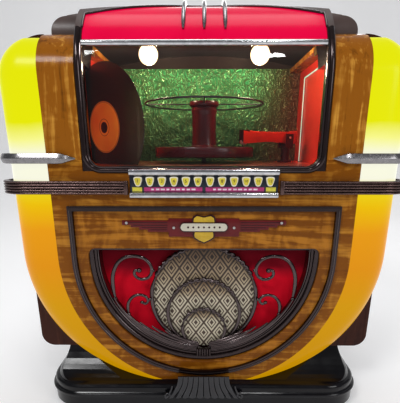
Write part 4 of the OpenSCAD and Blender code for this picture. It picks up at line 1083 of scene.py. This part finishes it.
# tone arm: a bowed channel with a pickup head
pivot = Vector((156, -4, 0))
tip = Vector((68, -50, 0))
d = (tip - pivot).normalized()
length = (tip - pivot).length
side = Vector((-d.y, d.x, 0))
rings = []
for u in [k / 26 for k in range(27)]:
    p = pivot + d * (-21 + (length + 22) * u)
    w = 7.4 - 0.9 * sin(pi * u)
    top = 468.2 - 2.2 * sin(pi * u) + (0.4 if u < 0.1 else 0)
    foot = 445.2 + 3.2 * sin(pi * u) ** 2
    outer = [(w, foot), (w, foot + 3), (w, top - 3), (w - 0.9, top - 0.9), (w - 3, top)]
    inner = [(w - 1.4, foot), (w - 1.4, top - 4), (w - 3, top - 2.4)]
    section = [(-a, z) for a, z in outer] + outer[::-1] + inner + [(-a, z) for a, z in inner[::-1]]
    rings.append([(q.x, q.y, z) for q, z in ((p + side * a, z) for a, z in section)])
piece("tonearm_channel", Build().rings(rings), "arm_red", body="tonearm", slot="tonearm_red",
      stands_for=("tonearm",))
pin = [pivot + side * t + Vector((0, 0, 456)) for t in (-14, -7, 0, 7, 14)]
b = Build().rings(tube_rings(pin, 2.0, 16, (0, 0, 1)))
head = pivot + d * (length - 4)
b.lathe([(0, 439.9), (0.5, 439.9), (0.8, 443), (3.8, 443.3), (5.4, 444.4), (6.6, 447), (6.9, 449.5),
         (5.6, 451.5), (0, 452)], (head.x, head.y, 0), "z", 28)
piece("tonearm_pickup", b, "pickup", body="tonearm", slot="tonearm_red", stands_for=("tonearm",))
head = pivot + d * (length - 3)
corners = [head + d * a + side * w for a, w in ((-9, -7.0), (5, -6.6), (5, 6.6), (-9, 7.0))]
b = Build().rings([[(p.x, p.y, z) for p in corners] for z in (448.0, 448.6, 467.6, 468.2)])
piece("tonearm_head", b, "maroon", body="tonearm", slot="tonearm_red", stands_for=("tonearm",))

# record on show, with its label and holder
here = (0, 0, 0)
shown = (RECORD_AT, (0, 0, radians(RECORD_TURN)))
b = Build().lathe([(3.6, -0.9), (40, -1.0), (42, -0.55), (44, -0.9), (97.5, -1.0), (99.6, -0.6), (100, 0),
                   (99.6, 0.6), (97.5, 1.0), (44, 0.9), (42, 0.55), (40, 1.0), (3.6, 0.9), (3.6, -0.9)],
                  here, "y", 128)
piece("record_disc", b, "record", slot="record_black", stands_for=("record",), at=shown)
b = Build()
for f in (-1, 1):
    b.lathe([(3.7, f * 1.16), (40.6, f * 1.12), (41, f * 0.95), (3.7, f * 0.95), (3.7, f * 1.16)],
            here, "y", 96)
piece("record_paper_label", b, "label", slot="record_black", at=shown)
b = Build().lathe([(0, -2.0), (7.5, -1.9), (9.0, -1.3), (9.0, 1.3), (7.5, 1.9), (0, 2.0)], here, "y", 40)
piece("record_hub", b, "maroon", slot="record_black", at=shown)
b = Build().rings([[(x, y, z) for x, y in rect(-29, -7.6, 29, 7.6)] for z in (-100.5, -99.8, -71.2, -70.4)])
piece("record_holder", b, "black_paint", slot="record_black", at=shown)

# lamps
glass, caps = Build(), Build()
for x in (-LAMP_X, LAMP_X):
    bulb = [(15 * sin(radians(a)), -15 * cos(radians(a))) for a in range(12, 150, 8)]
    glass.lathe([(0, -15)] + bulb + [(7.0, 14.5), (6.8, 16), (0, 16)], (x, LAMP_Y, LAMP_Z), "z", 40)
    thread = [(8 - 0.5 * (k % 2), 16 + k) for k in range(7)]
    caps.lathe([(0, 15.5), (7.6, 15.5)] + thread + [(8, 23), (0, 23)], (x, LAMP_Y, LAMP_Z), "z", 32)
piece("lamp_bulbs", glass, "bulb", slot="lamp_glass", stands_for=("lamps",))
caps.rings([[(x, y, z) for y, z in rect(-106, 600, -94, 604)] for x in (-178, -177, 0, 177, 178)])
for s in (-1, 1):
    caps.rings([[(s * x, y, z) for x, y in rect(174.2, -106, 178.6, -94)] for z in (575, 600)])
piece("lamp_sockets_and_bar", caps, "brass", slot="lamp_glass", stands_for=("lamps",))
both("lamp_tubes", lambda b, s: b.lathe(
    [(0, 282), (7.6, 282), (8, 283), (8, 290), (6, 290.5), (6, 513), (5, 515), (0, 515)],
    (s * (FRONT_R + 30), BAFFLE - 15, 0), "z", 28), "bulb", slot="lamp_glass", stands_for=("lamps",))

# fluted control knob at the back: depth, radius and depth of the flutes of each ring
lo, hi = mm_box("volume_knob")
cx, cz, yb = (lo[0] + hi[0]) / 2, (lo[2] + hi[2]) / 2, 212.6
rings = []
for y, r, f in ((0, 11.6, 0), (0.4, 12.8, 1), (6.8, 11.4, 1), (8.4, 10.2, 0.4), (8.9, 8.6, 0)):
    ring = []
    for a in [TAU * k / 192 for k in range(192)]:
        flute = r - 0.5 * f * (1 + cos(24 * a))
        ring.append((cx + flute * cos(a), yb + y, cz + flute * sin(a)))
    rings.append(ring)
b = Build().rings(rings)
b.lathe([(0, 186.8), (3.95, 186.8), (3.95, 212.8), (0, 212.8)], (cx, 0, cz), "y", 24)
piece("fluted_knob", b, "knob", body="volume_knob", slot="knob_black", stands_for=("volume_knob",))

# ---------------------------------------------------------------- stage, lights, camera

# a floor with a round cove up to a wall, as (y, z) in metres
pts, faces = [], []
prof = [(-7.0, 0.0), (1.6, 0.0)] + [(1.6 + 1.4 * sin(radians(a)), 1.4 - 1.4 * cos(radians(a)))
                                   for a in range(6, 91, 6)] + [(3.0, 6.0)]
for y, z in prof:
    pts += [(-8, y, z), (8, y, z)]
for i in range(len(prof) - 1):
    faces.append([2 * i, 2 * i + 1, 2 * i + 3, 2 * i + 2])
mesh = bpy.data.meshes.new("floor")
mesh.from_pydata(pts, [], faces)
floor = add_object("floor", mesh)
for p in mesh.polygons:
    p.use_smooth = True
sh = Shader("pale_floor", Roughness=0.7, Specular_IOR_Level=0.1, Emission_Strength=0.28)
sh.colour(sh.blend(sh.noise(2, 3), (0.80, 0.80, 0.80), (0.84, 0.84, 0.845)))
sh.glow(sh.blend(sh.noise(2, 3), (0.92, 0.92, 0.93), (0.95, 0.95, 0.96)))
mesh.materials.append(sh.mat)

world = bpy.data.worlds.new("studio")
scene.world = world
world.use_nodes = True
background = world.node_tree.nodes["Background"]
background.inputs["Color"].default_value = (0.95, 0.96, 1.0, 1)
background.inputs["Strength"].default_value = 0.2


def area(name, at, aim, size, power, colour=(1, 1, 1)):
    light = bpy.data.lights.new(name, "AREA")
    light.shape = "RECTANGLE"
    light.size, light.size_y = size
    light.energy = power
    light.color = colour
    o = add_object(name, light)
    o.location = at
    o.rotation_euler = (Vector(aim) - Vector(at)).to_track_quat("-Z", "Y").to_euler()


area("key_soft", (-1.1, -1.7, 2.2), (0, 0, 0.35), (0.7, 0.5), 24)
area("fill_soft", (1.6, -1.7, 1.2), (0, 0, 0.35), (0.7, 0.9), 10)
area("glint", (0.35, -1.5, 1.75), (0, -0.1, 0.3), (0.16, 0.16), 3.5)
area("top_soft", (0, 0.2, 2.3), (0, 0, 0.3), (1.2, 0.8), 12)
area("back_soft", (0.3, 2.2, 1.6), (0, 0, 0.4), (1.6, 1.0), 16)
for s in (-1, 1):
    light = bpy.data.lights.new("compartment_lamp_%d" % (s + 2), "POINT")
    light.energy = 0.6
    light.color = (1.0, 0.80, 0.55)
    light.shadow_soft_size = 0.012
    o = add_object(light.name, light)
    o.location = (s * 0.088, -0.062, 0.566)

# camera fitted to the photo, 403 pixels high
FOCAL_PX, PHOTO_PX, SENSOR = 381.0, 403.0, 36.0
PITCH, YAW = radians(17.5), radians(-0.35)
cam = bpy.data.cameras.new("camera")
camera = add_object("camera", cam)
scene.camera = camera
cam.sensor_width = SENSOR
cam.lens = FOCAL_PX * SENSOR / PHOTO_PX
cam.shift_x, cam.shift_y = -0.004, 0.17
camera.location = (0.0, -0.774, 0.434)
camera.rotation_euler = (pi / 2 - PITCH, 0, -YAW)
cam.clip_start, cam.clip_end = 0.01, 50

scene.view_settings.view_transform = "Standard"
scene.view_settings.look = "None"
